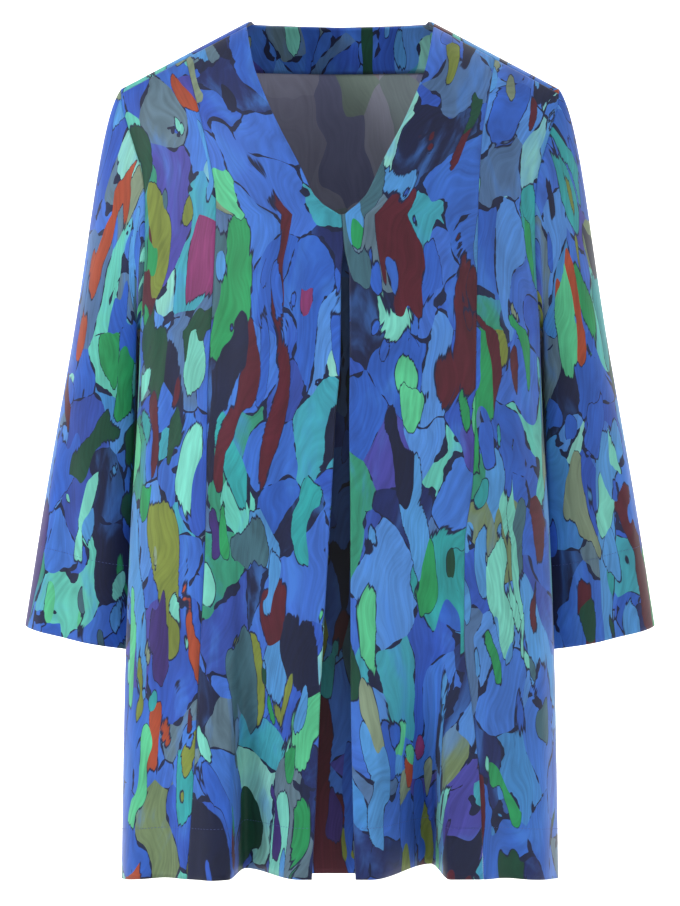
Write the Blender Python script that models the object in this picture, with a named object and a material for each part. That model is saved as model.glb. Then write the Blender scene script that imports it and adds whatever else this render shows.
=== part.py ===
"""A long blouse, filled out as if it were worn.

It has a V neck with a facing inside the back neck, an inverted pleat down the centre front,
princess seams, a plain back that laps forward over the shoulders, and wide three-quarter
sleeves. Units are metres and +Z is up. The front faces -Y, and +X is the right-hand side of
someone who looks at the front. The origin lies between the shoulders, where the wearer
holds the blouse up.
"""

import math
from collections import namedtuple

import bmesh
import bpy
import numpy as np

# Cloth
WALL = 0.0015
FACING_WALL = 0.0010
CLOTH_ROUGHNESS = 0.62
SEAM_GAP = 0.0003

# Heights and shoulder sizes
NECK_DROP = -0.150
UNDERARM = -0.256
HEM_CENTRE_FRONT = -0.7515
HEM_SIDE = -0.7750
HEM_CENTRE_BACK = -0.768
SHOULDER_NECK_X = 0.0885
SHOULDER_NECK_Z = 0.0325
SHOULDER_SLOPE = 0.524
SHOULDER_TIP_X = 0.2065
SHOULDER_ROUND = 0.16
SEAM_BELOW_RIDGE = 0.005
BACK_NECK_Z = 0.0335
NECK_CORNER = 0.007
NECK_CORNER_COLUMNS = (0.4, 0.8)
FACING_DEPTH = 0.043
FACING_GAP = 0.0006
FACING_REACH = 0.11
FACING_BELOW_RIDGE = 0.002

# Inverted pleat
PLEAT_FOLD_RADIUS = 0.00175
PLEAT_RETURN = 0.040
UNDERLAY_BULGE = 0.15

# Horizontal sections of the body. Square is the exponent of the section's rounded outline,
# 2 for an ellipse and more for a squarer one.
BodySection = namedtuple(
    "BodySection", "height half_width front back middle front_square back_square"
)
BODY_SECTIONS = (
    BodySection(-0.780, 0.2064, 0.126, 0.122, -0.030, 2.6, 2.2),
    BodySection(-0.600, 0.2030, 0.118, 0.110, -0.030, 2.5, 2.2),
    BodySection(-0.450, 0.1972, 0.115, 0.104, -0.029, 2.4, 2.2),
    BodySection(-0.330, 0.1900, 0.118, 0.107, -0.025, 2.3, 2.2),
    BodySection(-0.256, 0.1880, 0.119, 0.112, -0.018, 2.2, 2.2),
    BodySection(-0.200, 0.1950, 0.116, 0.114, -0.011, 2.1, 2.2),
    BodySection(-0.140, 0.2050, 0.108, 0.112, -0.004, 2.0, 2.2),
    BodySection(-0.080, 0.2130, 0.097, 0.104, 0.000, 2.0, 2.1),
    BodySection(-0.010, 0.2150, 0.080, 0.092, 0.000, 2.0, 2.0),
    BodySection(0.090, 0.2150, 0.062, 0.078, 0.000, 2.0, 2.0),
)

# Distances from the centre plane to the neck edge, the princess seams and the armhole seam
NeckEdge = namedtuple("NeckEdge", "height across")
NECK_EDGE = (
    NeckEdge(-0.150, 0.0020),
    NeckEdge(-0.135, 0.0215),
    NeckEdge(-0.105, 0.0365),
    NeckEdge(-0.064, 0.0580),
    NeckEdge(-0.031, 0.0725),
    NeckEdge(-0.012, 0.0795),
    NeckEdge(0.034, 0.0890),
)
PrincessSeam = namedtuple("PrincessSeam", "height left right")
PRINCESS_SEAMS = (
    PrincessSeam(-0.765, 0.1410, 0.1315),
    PrincessSeam(-0.668, 0.1341, 0.1275),
    PrincessSeam(-0.597, 0.1304, 0.1205),
    PrincessSeam(-0.536, 0.1270, 0.1130),
    PrincessSeam(-0.452, 0.1228, 0.1135),
    PrincessSeam(-0.390, 0.1215, 0.1210),
    PrincessSeam(-0.313, 0.1204, 0.1235),
    PrincessSeam(-0.230, 0.1165, 0.1250),
    PrincessSeam(-0.141, 0.1135, 0.1270),
    PrincessSeam(-0.080, 0.1240, 0.1310),
    PrincessSeam(-0.030, 0.1370, 0.1400),
    PrincessSeam(0.010, 0.1480, 0.1480),
)
ArmholeSeam = namedtuple("ArmholeSeam", "height front back")
ARMHOLE_SEAM = (
    ArmholeSeam(-0.2560, 0.1880, 0.1880),
    ArmholeSeam(-0.2185, 0.1838, 0.1868),
    ArmholeSeam(-0.1820, 0.1818, 0.1872),
    ArmholeSeam(-0.1400, 0.1816, 0.1895),
    ArmholeSeam(-0.1100, 0.1850, 0.1930),
    ArmholeSeam(-0.0865, 0.1920, 0.1980),
    ArmholeSeam(-0.0640, 0.1995, 0.2025),
    ArmholeSeam(-0.0400, 0.2060, 0.2060),
    ArmholeSeam(-0.0310, 0.2065, 0.2065),
)

# The two folded edges of the pleat, and how far the underlay lies behind them
PleatLine = namedtuple("PleatLine", "height left right set_back")
PLEAT_LINES = (
    PleatLine(-0.765, -0.0262, 0.0145, 0.026),
    PleatLine(-0.690, -0.0221, 0.0118, 0.025),
    PleatLine(-0.575, -0.0171, 0.0096, 0.023),
    PleatLine(-0.500, -0.0131, 0.0094, 0.020),
    PleatLine(-0.407, -0.0077, 0.0092, 0.017),
    PleatLine(-0.334, -0.0040, 0.0082, 0.013),
    PleatLine(-0.278, 0.0004, 0.0088, 0.010),
    PleatLine(-0.205, 0.0010, 0.0082, 0.007),
    PleatLine(-0.178, 0.0033, 0.0036, 0.005),
    PleatLine(-0.150, 0.0014, 0.0017, 0.005),
)

# Soft folds that hang in the cloth. Place is the turn round the body in degrees, from the
# centre line to 90 at a side seam, and minus on the left. A fold grows from nothing at its
# start height to its full depth at the hem, and minus depths are hollows.
Fold = namedtuple("Fold", "place_at_start place_at_hem start depth left_width right_width")
FRONT_FOLDS = (
    Fold(-26.0, -25.2, -0.40, -0.056, 4.2, 15.0),
    Fold(24.0, 24.6, -0.44, -0.078, 17.0, 4.2),
    Fold(-40.0, -34.0, -0.30, 0.006, 7.0, 7.0),
    Fold(-50.0, -52.0, -0.34, -0.009, 11.0, 12.0),
    Fold(50.0, 47.0, -0.46, -0.007, 8.0, 12.0),
    Fold(-72.0, -70.0, -0.40, 0.004, 12.0, 12.0),
    Fold(66.0, 62.0, -0.36, 0.005, 14.0, 14.0),
)
BACK_FOLDS = (
    Fold(-48.0, -56.0, -0.36, -0.020, 11.0, 13.0),
    Fold(-24.0, -31.0, -0.28, 0.012, 9.0, 11.0),
    Fold(-9.0, -11.0, -0.34, -0.030, 12.0, 9.0),
    Fold(11.0, 10.0, -0.26, 0.013, 9.0, 10.0),
    Fold(27.0, 33.0, -0.31, -0.026, 10.0, 12.0),
    Fold(49.0, 58.0, -0.38, -0.016, 12.0, 10.0),
)

# Sleeves: rings square to the sleeve, from just under the arm to the cuff. Places are for
# the sleeve on +X, and turn is the place round the sleeve, 0 at its outer side.
SleeveRing = namedtuple("SleeveRing", "along centre_x centre_y centre_z half_width half_depth")
SLEEVE_RINGS = (
    SleeveRing(0.00, 0.2120, 0.028, -0.288, 0.0468, 0.062),
    SleeveRing(0.45, 0.2225, 0.042, -0.410, 0.0594, 0.060),
    SleeveRing(1.00, 0.2355, 0.064, -0.5572, 0.0725, 0.056),
)
SLEEVE_TILT = math.radians(10.0)
SLEEVE_CLEARANCE = 0.0034
SLEEVE_HEAD_LIFT = 0.13
SLEEVE_HEAD_DROP = 0.38
LEAVES_SHOULDER = (0.62, 0.0, -0.78)
LEAVES_UNDERARM = (0.05, 0.1, -1.0)
# How narrowly the underarm's way out of the seam holds round the armhole, where on the first
# stretch the sleeve's own way is read, and how readily the seam is turned back where the
# sleeve leans out of the body's cloth and at the underarm
UNDERARM_POWER = 4
ARRIVING_SHARE = 0.05
TURN_BACK_BY_LEAN = 4
TURN_BACK_AT_UNDERARM = 2

SleeveFold = namedtuple("SleeveFold", "turn_at_top turn_at_cuff start end depth width")
SLEEVE_FOLDS = (
    SleeveFold(40.0, 62.0, 0.10, 1.00, -0.005, 26.0),
    SleeveFold(100.0, 88.0, 0.30, 1.00, 0.004, 30.0),
    SleeveFold(-60.0, -80.0, 0.15, 1.00, -0.006, 30.0),
    SleeveFold(-10.0, -25.0, 0.05, 0.75, -0.003, 24.0),
)

# How the folds fade: the share of the depth that is there from the start, how much of a
# fold's push near a side seam goes sideways, and how far past its end a sleeve fold fades
FOLD_START_SHARE = 0.4
SIDEWAYS_POWER = 7
SLEEVE_FOLD_FADE = 1.35
NECK_POINT_BLEND = 0.004

# Rows and columns of the mesh. The lowest band of rows ends at the underarm and the next at
# the neck point. A centre-front panel's columns are closer where its fold hangs.
LOWER_ROWS = 11
MIDDLE_ROWS = 4
UPPER_ROWS = 8
SLEEVE_HEAD_ROWS = 6
SLEEVE_ROWS = 8
FACING_ROWS = 6
ColumnBand = namedtuple("ColumnBand", "first last columns")
FRONT_COLUMNS = (ColumnBand(0, 0.44, 7), ColumnBand(0.49, 0.64, 5), ColumnBand(0.72, 1, 5))
SIDE_COLUMNS = 12
SHOULDER_COLUMNS = 12
HALF_NECK_COLUMNS = 8
UNDERLAY_COLUMNS = 7
FOLD_STEPS = 3
RETURN_STEPS = 2
SETTLING_ROUNDS = 16
SHARP_ANGLE = math.radians(50)

PRINT_BLUE = (0.045, 0.115, 0.520)
SKY_BLUE = (0.080, 0.240, 0.640)
NAVY = (0.018, 0.035, 0.160)


def table_curve(rows, column):
    """A smooth function of height through one column of a table, without overshoot."""
    ordered = sorted(rows, key=lambda row: row[0])
    places = np.array([row[0] for row in ordered])
    values = np.array([getattr(row, column) for row in ordered])
    steps = np.diff(values) / np.diff(places)
    slopes = np.concatenate([steps[:1], np.zeros(len(steps) - 1), steps[-1:]])
    for i in range(1, len(steps)):
        before, after = steps[i - 1], steps[i]
        if before * after > 0:
            slopes[i] = 2 * before * after / (before + after)

    def value(place):
        place = np.clip(place, places[0], places[-1])
        i = np.clip(np.searchsorted(places, place) - 1, 0, len(places) - 2)
        span = places[i + 1] - places[i]
        t = (place - places[i]) / span
        start = (1 + 2 * t) * (1 - t) ** 2 * values[i] + t * (1 - t) ** 2 * span * slopes[i]
        end = (3 - 2 * t) * t**2 * values[i + 1] - (1 - t) * t**2 * span * slopes[i + 1]
        return start + end

    return value


half_width_at = table_curve(BODY_SECTIONS, "half_width")
middle_at = table_curve(BODY_SECTIONS, "middle")
depth_at = {
    "front": table_curve(BODY_SECTIONS, "front"),
    "back": table_curve(BODY_SECTIONS, "back"),
}
square_at = {
    "front": table_curve(BODY_SECTIONS, "front_square"),
    "back": table_curve(BODY_SECTIONS, "back_square"),
}
armhole_at = {
    "front": table_curve(ARMHOLE_SEAM, "front"),
    "back": table_curve(ARMHOLE_SEAM, "back"),
}
princess_at = {
    "left": table_curve(PRINCESS_SEAMS, "left"),
    "right": table_curve(PRINCESS_SEAMS, "right"),
}
pleat_at = {
    "left": table_curve(PLEAT_LINES, "left"),
    "right": table_curve(PLEAT_LINES, "right"),
}
set_back_at = table_curve(PLEAT_LINES, "set_back")
neck_edge_at = table_curve(NECK_EDGE, "across")


def smooth_step(t):
    t = np.clip(t, 0, 1)
    return t * t * (3 - 2 * t)


def between(first, last, share):
    return first + (last - first) * share


def turn_of(across, height):
    """The turn round the body, in radians, of a place that far from the centre plane."""
    return np.arcsin(np.clip(across / half_width_at(height), -1, 1))


def ridge_height(across):
    """Height of the shoulder ridge, carried on in a straight line above the neck."""
    return SHOULDER_NECK_Z - SHOULDER_SLOPE * (np.abs(across) - SHOULDER_NECK_X)


def hem_height(turn, side):
    """Height of the hem, which dips towards the side seams."""
    centre = HEM_CENTRE_FRONT if side == "front" else HEM_CENTRE_BACK
    square = square_at[side](centre)
    out = (1 - np.abs(np.sin(turn)) ** square) ** (1 / square)
    return HEM_SIDE + (centre - HEM_SIDE) * out


def fold_depth(turn, height, folds):
    """How far the folds push the cloth out at a place on the body."""
    degrees = np.degrees(turn)
    total = np.zeros(np.broadcast(turn, height).shape)
    for fold in folds:
        grown = np.clip((fold.start - height) / (fold.start - HEM_SIDE), 0, 1)
        place = fold.place_at_start + (fold.place_at_hem - fold.place_at_start) * grown
        away = degrees - place
        width = np.where(away < 0, fold.left_width, fold.right_width)
        shape = np.cos(np.pi / 2 * np.clip(np.abs(away) / width, 0, 1)) ** 2
        grown = smooth_step(grown) * between(FOLD_START_SHARE, 1, grown)
        total = total + fold.depth * grown * shape
    return total


def body_point(turn, height, side):
    """The right side of the cloth at a turn and height, on the front or the back."""
    front = side == "front"
    square = square_at[side](height)
    out = np.clip(1 - np.abs(np.sin(turn)) ** square, 0, 1) ** (1 / square)
    x = half_width_at(height) * np.sin(turn)
    below = np.clip((ridge_height(x) - height) / SHOULDER_ROUND, 0, 1)
    roll = np.sqrt(1 - (1 - below) ** 2)
    pushed = fold_depth(turn, height, FRONT_FOLDS if front else BACK_FOLDS)
    sideways = np.sin(turn) ** SIDEWAYS_POWER
    facing = -1 if front else 1
    y = middle_at(height) + facing * depth_at[side](height) * out * roll
    x = x + pushed * sideways
    y = y + facing * pushed * np.sqrt(1 - sideways**2)
    return np.stack([x, y, np.broadcast_to(height, x.shape)], axis=-1)


# A row lies a share of the way up from a low height to a high one. No low height means the
# hem, and no high one means the panel's top edge, to which the rows fan out.
Row = namedtuple("Row", "low high up")


def rows_between(low, high, count):
    return [Row(low, high, step / count) for step in range(count)]


ROWS = (
    rows_between(None, UNDERARM, LOWER_ROWS)
    + rows_between(UNDERARM, NECK_DROP, MIDDLE_ROWS)
    + rows_between(NECK_DROP, None, UPPER_ROWS)
    + [Row(NECK_DROP, None, 1.0)]
)
UNDERARM_ROW = LOWER_ROWS
NECK_ROW = LOWER_ROWS + MIDDLE_ROWS


def across_at(height, share, turn_across):
    return np.abs(half_width_at(height) * np.sin(turn_across(height, share)))


def column_ends(shares, turn_across, top_root):
    """Where each column ends. A root is the square root of a place's drop below the shoulder
    ridge, and a minus root is past the ridge, on the other side."""
    height = NECK_DROP + 0 * shares
    for _ in range(SETTLING_ROUNDS):
        height = ridge_height(across_at(height, shares, turn_across))
    return top_root(across_at(height, shares, turn_across))


def panel_point(row, turn_across, share, side, end_root):
    """A point of a panel, in a column that lies a share of the way across it."""
    if row.high is not None:
        turn = turn_across(HEM_SIDE, share)
        low = hem_height(turn, side) if row.low is None else row.low
        height = low + (row.high - low) * row.up + 0 * share
        return body_point(turn_across(height, share), height, side)
    height = row.low + 0 * share
    for _ in range(SETTLING_ROUNDS):
        across = across_at(height, share, turn_across)
        root = between(np.sqrt(ridge_height(across) - row.low), end_root, row.up)
        height = ridge_height(across) - root**2
    turn = turn_across(height, share)
    own_side = body_point(turn, height, side)
    other_side = body_point(turn, height, "front" if side == "back" else "back")
    return np.where((root < 0)[..., None], other_side, own_side)


def panel(shares, turn_across, side, top_root):
    """Grids of points on both faces of a panel's wall, a row of points for each row."""
    nudge = 1e-4
    before = np.clip(shares - nudge, 0, 1)
    after = np.clip(shares + nudge, 0, 1)
    leftward = turn_across(UNDERARM, 1.0) < turn_across(UNDERARM, 0.0)
    ends, ends_before, ends_after = (
        column_ends(columns, turn_across, top_root) for columns in (shares, before, after)
    )
    faces = [[], []]
    for row in ROWS:
        lower = row._replace(up=max(row.up - nudge, 0))
        upper = row._replace(up=min(row.up + nudge, 1))
        centre = panel_point(row, turn_across, shares, side, ends)
        along = panel_point(row, turn_across, after, side, ends_after)
        along = along - panel_point(row, turn_across, before, side, ends_before)
        upward = panel_point(upper, turn_across, shares, side, ends)
        upward = upward - panel_point(lower, turn_across, shares, side, ends)
        normal = np.cross(along, upward)
        if (side == "front") == leftward:
            normal = -normal
        normal = normal / np.linalg.norm(normal, axis=-1, keepdims=True)
        faces[0].append(centre)
        faces[1].append(centre - normal * WALL)
    return np.array(faces[0]), np.array(faces[1])


def ease_seam(faces, axis, end, gap=SEAM_GAP / 2):
    """Draw one edge of a wall back along the cloth, to leave half a seam's gap."""
    edge = 0 if end == "first" else -1
    beside = 1 if end == "first" else -2
    right_side = faces[0]
    edge_at = [slice(None), slice(None)]
    beside_at = [slice(None), slice(None)]
    edge_at[axis] = edge
    beside_at[axis] = beside
    inward = right_side[tuple(beside_at)] - right_side[tuple(edge_at)]
    inward = inward / np.linalg.norm(inward, axis=-1, keepdims=True)
    for face in faces:
        face[tuple(edge_at)] = face[tuple(edge_at)] + inward * gap
    return faces


def cloth_wall(name, faces, colour, tube=False):
    """A closed wall between two grids of points. A cell with a missing corner is left out, and
    each other one is split along its shorter diagonal."""
    right_side, wrong_side = faces
    rows, columns = right_side.shape[:2]
    there = ~np.isnan(right_side[..., 0])
    shell = bmesh.new()
    outer = {}
    inner = {}
    for row, column in zip(*np.nonzero(there)):
        outer[row, column] = shell.verts.new(right_side[row, column])
        inner[row, column] = shell.verts.new(wrong_side[row, column])
    edges = set()
    for row in range(rows - 1):
        for column in range(columns if tube else columns - 1):
            beside = (column + 1) % columns
            corners = [(row, column), (row, beside), (row + 1, beside), (row + 1, column)]
            if not all(there[corner] for corner in corners):
                continue
            a, b, c, d = corners
            one_way = np.linalg.norm(right_side[a] - right_side[c])
            if one_way <= np.linalg.norm(right_side[b] - right_side[d]):
                triangles = ((a, b, c), (a, c, d))
            else:
                triangles = ((a, b, d), (b, c, d))
            for triangle in triangles:
                shell.faces.new([outer[corner] for corner in triangle])
                shell.faces.new([inner[corner] for corner in reversed(triangle)])
            edges.update(zip(corners, corners[1:] + corners[:1]))
    for a, b in edges:
        if (b, a) not in edges:
            shell.faces.new([outer[b], outer[a], inner[a]])
            shell.faces.new([outer[b], inner[a], inner[b]])
    loose = [vertex for vertex in shell.verts if not vertex.link_faces]
    bmesh.ops.delete(shell, geom=loose, context="VERTS")
    bmesh.ops.recalc_face_normals(shell, faces=shell.faces)
    mesh = bpy.data.meshes.new(name)
    shell.to_mesh(mesh)
    shell.free()
    mesh.shade_smooth()
    mesh.set_sharp_from_angle(angle=SHARP_ANGLE)
    mesh.materials.append(cloth_material(name, colour))
    return bpy.data.objects.new(name, mesh)


def cloth_material(name, colour):
    material = bpy.data.materials.new(name)
    material.use_nodes = True
    surface = material.node_tree.nodes["Principled BSDF"]
    surface.inputs["Base Color"].default_value = (*colour, 1.0)
    surface.inputs["Roughness"].default_value = CLOTH_ROUGHNESS
    surface.inputs["Metallic"].default_value = 0.0
    return material


def inner_edge(height, side):
    """Distance of a centre-front panel's inner edge from the centre plane, plus to the right.
    It follows the pleat up to the neck point and the neck edge above it."""
    sign = -1 if side == "left" else 1
    folded = pleat_at[side](height) + sign * PLEAT_FOLD_RADIUS
    at_point = pleat_at[side](NECK_DROP) + sign * PLEAT_FOLD_RADIUS
    low_end = NECK_EDGE[0].across
    neck = neck_edge_at(height)
    eased = sign * neck + (at_point - sign * low_end) * np.exp((low_end - neck) / NECK_POINT_BLEND)
    return np.where(height <= NECK_DROP, folded, eased)


def shoulder_seam_root(across):
    return np.sqrt(SEAM_BELOW_RIDGE) + 0 * across


def front_panel(side):
    """A centre-front panel with the turned-back return of the pleat, from its inner end out."""
    sign = -1 if side == "left" else 1

    def turn_across(height, share):
        first = turn_of(inner_edge(height, side), height)
        last = turn_of(sign * princess_at[side](height), height)
        return between(first, last, share)

    shares = np.concatenate([np.linspace(*band) for band in FRONT_COLUMNS])
    faces = panel(shares, turn_across, "front", shoulder_seam_root)
    if side == "left":
        faces = [face[:, ::-1] for face in faces]
    edge = -1 if side == "left" else 0
    beside = -2 if side == "left" else 1
    turned = [pleat_return(row, faces, edge, beside) for row in range(len(ROWS))]
    returns = [np.array([pair[face] for pair in turned]) for face in (0, 1)]
    if side == "left":
        faces = [np.concatenate(pair, axis=1) for pair in zip(faces, returns)]
        ease_seam(faces, 1, "first")
    else:
        faces = [np.concatenate((r[:, ::-1], f), axis=1) for f, r in zip(faces, returns)]
        ease_seam(faces, 1, "last")
    return ease_seam(faces, 0, "last")


def pleat_frame(row, faces, edge, beside):
    """The pleat's corner on a row, with the ways along the panel and into the hollow."""
    corner = faces[0][row, edge]
    along = faces[0][row, beside] - corner
    along = along * (1, 1, 0)
    along = along / np.linalg.norm(along)
    inward = np.array([along[1], -along[0], 0.0])
    if inward[1] < 0:
        inward = -inward
    return corner, along, inward


def pleat_opening(height):
    """Angle that the return makes with the panel in front of it."""
    reach = np.clip(set_back_at(height) - 2 * PLEAT_FOLD_RADIUS, 0, PLEAT_RETURN)
    return math.asin(reach / PLEAT_RETURN)


def pleat_return(row, faces, edge, beside):
    """Points of a row's rounded fold and of the cloth turned back behind the panel. The
    return starts a row below the neck point, and the fold reaches the neck point."""
    corner, along, inward = pleat_frame(row, faces, edge, beside)
    opening = pleat_opening(corner[2])
    right_side = []
    wrong_side = []
    for step in range(1, FOLD_STEPS + 1):
        angle = (math.pi - opening) * step / FOLD_STEPS
        out = -math.sin(angle) * along - math.cos(angle) * inward
        centre = corner + inward * PLEAT_FOLD_RADIUS
        right_side.append(centre + out * PLEAT_FOLD_RADIUS)
        wrong_side.append(centre + out * (PLEAT_FOLD_RADIUS - WALL))
    back = math.cos(opening) * along + math.sin(opening) * inward
    for step in range(1, RETURN_STEPS + 1):
        onward = back * PLEAT_RETURN * step / RETURN_STEPS
        right_side.append(right_side[FOLD_STEPS - 1] + onward)
        wrong_side.append(wrong_side[FOLD_STEPS - 1] + onward)
    points = [np.array(right_side), np.array(wrong_side)]
    for face in points:
        if row > NECK_ROW:
            face[:] = np.nan
        if row == NECK_ROW:
            face[FOLD_STEPS:] = np.nan
    return points


def side_front_panel(side):
    sign = -1 if side == "left" else 1

    def turn_across(height, share):
        first = turn_of(sign * princess_at[side](height), height)
        at_armhole = turn_of(sign * armhole_at["front"](height), height)
        last = np.where(height > UNDERARM, at_armhole, sign * math.pi / 2)
        return between(first, last, share)

    faces = panel(np.linspace(0, 1, SIDE_COLUMNS), turn_across, "front", shoulder_seam_root)
    if side == "left":
        faces = [face[:, ::-1] for face in faces]
    seam_points = [face[:, 0 if side == "left" else -1].copy() for face in faces]
    for end in ("first", "last"):
        ease_seam(faces, 1, end)
    return ease_seam(faces, 0, "last"), seam_points


def back_top_root(across):
    """The back's top edge: over the ridge at the shoulders, and the back neck between them."""
    neck_z = BACK_NECK_Z - (BACK_NECK_Z - SHOULDER_NECK_Z) * (across / SHOULDER_NECK_X) ** 2
    neck = np.sqrt(np.clip(ridge_height(across) - neck_z, 0, 1))
    turned = smooth_step((across - SHOULDER_NECK_X + NECK_CORNER) / NECK_CORNER)
    return between(neck, -math.sqrt(SEAM_BELOW_RIDGE), turned)


def back_turn_across(height, share):
    at_armhole = turn_of(armhole_at["back"](height), height)
    edge = np.where(height > UNDERARM, at_armhole, math.pi / 2)
    return between(edge, -edge, share)


def neck_share():
    """Share of the way across the back at which a column ends on the shoulder's neck point."""
    edge = turn_of(SHOULDER_TIP_X, SHOULDER_NECK_Z)
    return 0.5 - 0.5 * turn_of(SHOULDER_NECK_X, SHOULDER_NECK_Z) / edge


def back_shares():
    shoulder = np.linspace(0, neck_share(), SHOULDER_COLUMNS)
    corner = neck_share() * (1 + NECK_CORNER / SHOULDER_TIP_X * np.array(NECK_CORNER_COLUMNS))
    neck = np.linspace(corner[-1], 0.5, HALF_NECK_COLUMNS)[1:]
    half = np.concatenate([shoulder, corner, neck])
    return np.concatenate([half, 1 - half[-2::-1]])


def back_panel():
    faces = panel(back_shares(), back_turn_across, "back", back_top_root)
    seam_points = {
        "right": [face[:, 0].copy() for face in faces],
        "left": [face[:, -1].copy() for face in faces],
    }
    for end in ("first", "last"):
        ease_seam(faces, 1, end)
    return ease_seam(faces, 0, "last"), seam_points


def back_neck_facing(back):
    """The facing lies on the wrong side of the back, from the neck edge down to a level edge.
    Beside the neck it stops short of the shoulder ridge. Its points are the back's own, read
    along each column and moved in."""
    right_side, wrong_side = back
    top = right_side[-1]
    columns = np.nonzero(np.abs(top[:, 0]) <= FACING_REACH)[0]
    faces = [[], []]
    for column in columns:
        heights = right_side[NECK_ROW:, column, 2]
        places = np.arange(len(heights))
        across = abs(top[column, 0])
        root = math.sqrt(ridge_height(across) - heights[0])
        end_root = back_top_root(across)
        level = np.interp(BACK_NECK_Z - FACING_DEPTH, heights[: heights.argmax() + 1],
                          places[: heights.argmax() + 1])
        last = (root - math.sqrt(FACING_BELOW_RIDGE)) / (root - end_root) * UPPER_ROWS
        read_at = np.linspace(level, min(last, UPPER_ROWS), FACING_ROWS + 1)
        outer, inner = (
            np.stack([np.interp(read_at, places, face[NECK_ROW:, column, i]) for i in range(3)], 1)
            for face in (right_side, wrong_side)
        )
        inward = (inner - outer) / WALL
        faces[0].append(inner + inward * FACING_GAP)
        faces[1].append(inner + inward * (FACING_GAP + FACING_WALL))
    return [np.array(face).swapaxes(0, 1) for face in faces]


def pleat_underlay(left_faces, right_faces):
    """The strip between the ends of the two returns, with its right side to the front."""
    shares = np.linspace(0, 1, UNDERLAY_COLUMNS)
    faces = [[], []]
    for row in range(NECK_ROW):
        left = left_faces[0][row, -1]
        right = right_faces[0][row, 0]
        across = (right - left) * (1, 1, 0)
        across = across / np.linalg.norm(across)
        inward = np.array([-across[1], across[0], 0.0])
        bulge = np.sin(np.pi * shares)[:, None] * inward * UNDERLAY_BULGE * set_back_at(left[2])
        strip = left + (right - left) * shares[:, None] + inward * SEAM_GAP + bulge
        faces[0].append(strip)
        faces[1].append(strip + inward * WALL)
    return [np.array(face) for face in faces]


ring_at = {
    column: table_curve(SLEEVE_RINGS, column)
    for column in ("centre_x", "centre_y", "centre_z", "half_width", "half_depth")
}


def sleeve_ring_point(along, turn):
    """A point round the lower sleeve on +X, at a turn from its outer side towards the front."""
    folded = 0 * turn
    degrees = np.degrees(turn)
    for fold in SLEEVE_FOLDS:
        span = (along - fold.start) / (fold.end - fold.start)
        grown = smooth_step(span * 2) * smooth_step((SLEEVE_FOLD_FADE - span) * 2)
        place = between(fold.turn_at_top, fold.turn_at_cuff, np.clip(along, 0, 1))
        away = np.abs((degrees - place + 180) % 360 - 180)
        shape = np.cos(np.pi / 2 * np.clip(away / fold.width, 0, 1)) ** 2
        folded = folded + fold.depth * grown * shape
    outward = (ring_at["half_width"](along) + folded) * np.cos(turn)
    forward = (ring_at["half_depth"](along) + folded) * np.sin(turn)
    x = ring_at["centre_x"](along) + outward * math.cos(SLEEVE_TILT)
    y = ring_at["centre_y"](along) - forward
    z = ring_at["centre_z"](along) + outward * math.sin(SLEEVE_TILT)
    return np.stack([x, y, z], axis=-1)


def body_reach(y, height):
    """How far out the body's cloth reaches at a depth and height, from the centre plane."""
    front = y < middle_at(height)
    depth = np.where(front, depth_at["front"](height), depth_at["back"](height))
    square = np.where(front, square_at["front"](height), square_at["back"](height))
    share = np.clip(np.abs(y - middle_at(height)) / depth, 0, 1)
    return half_width_at(height) * (1 - share**square) ** (1 / square)


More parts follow.
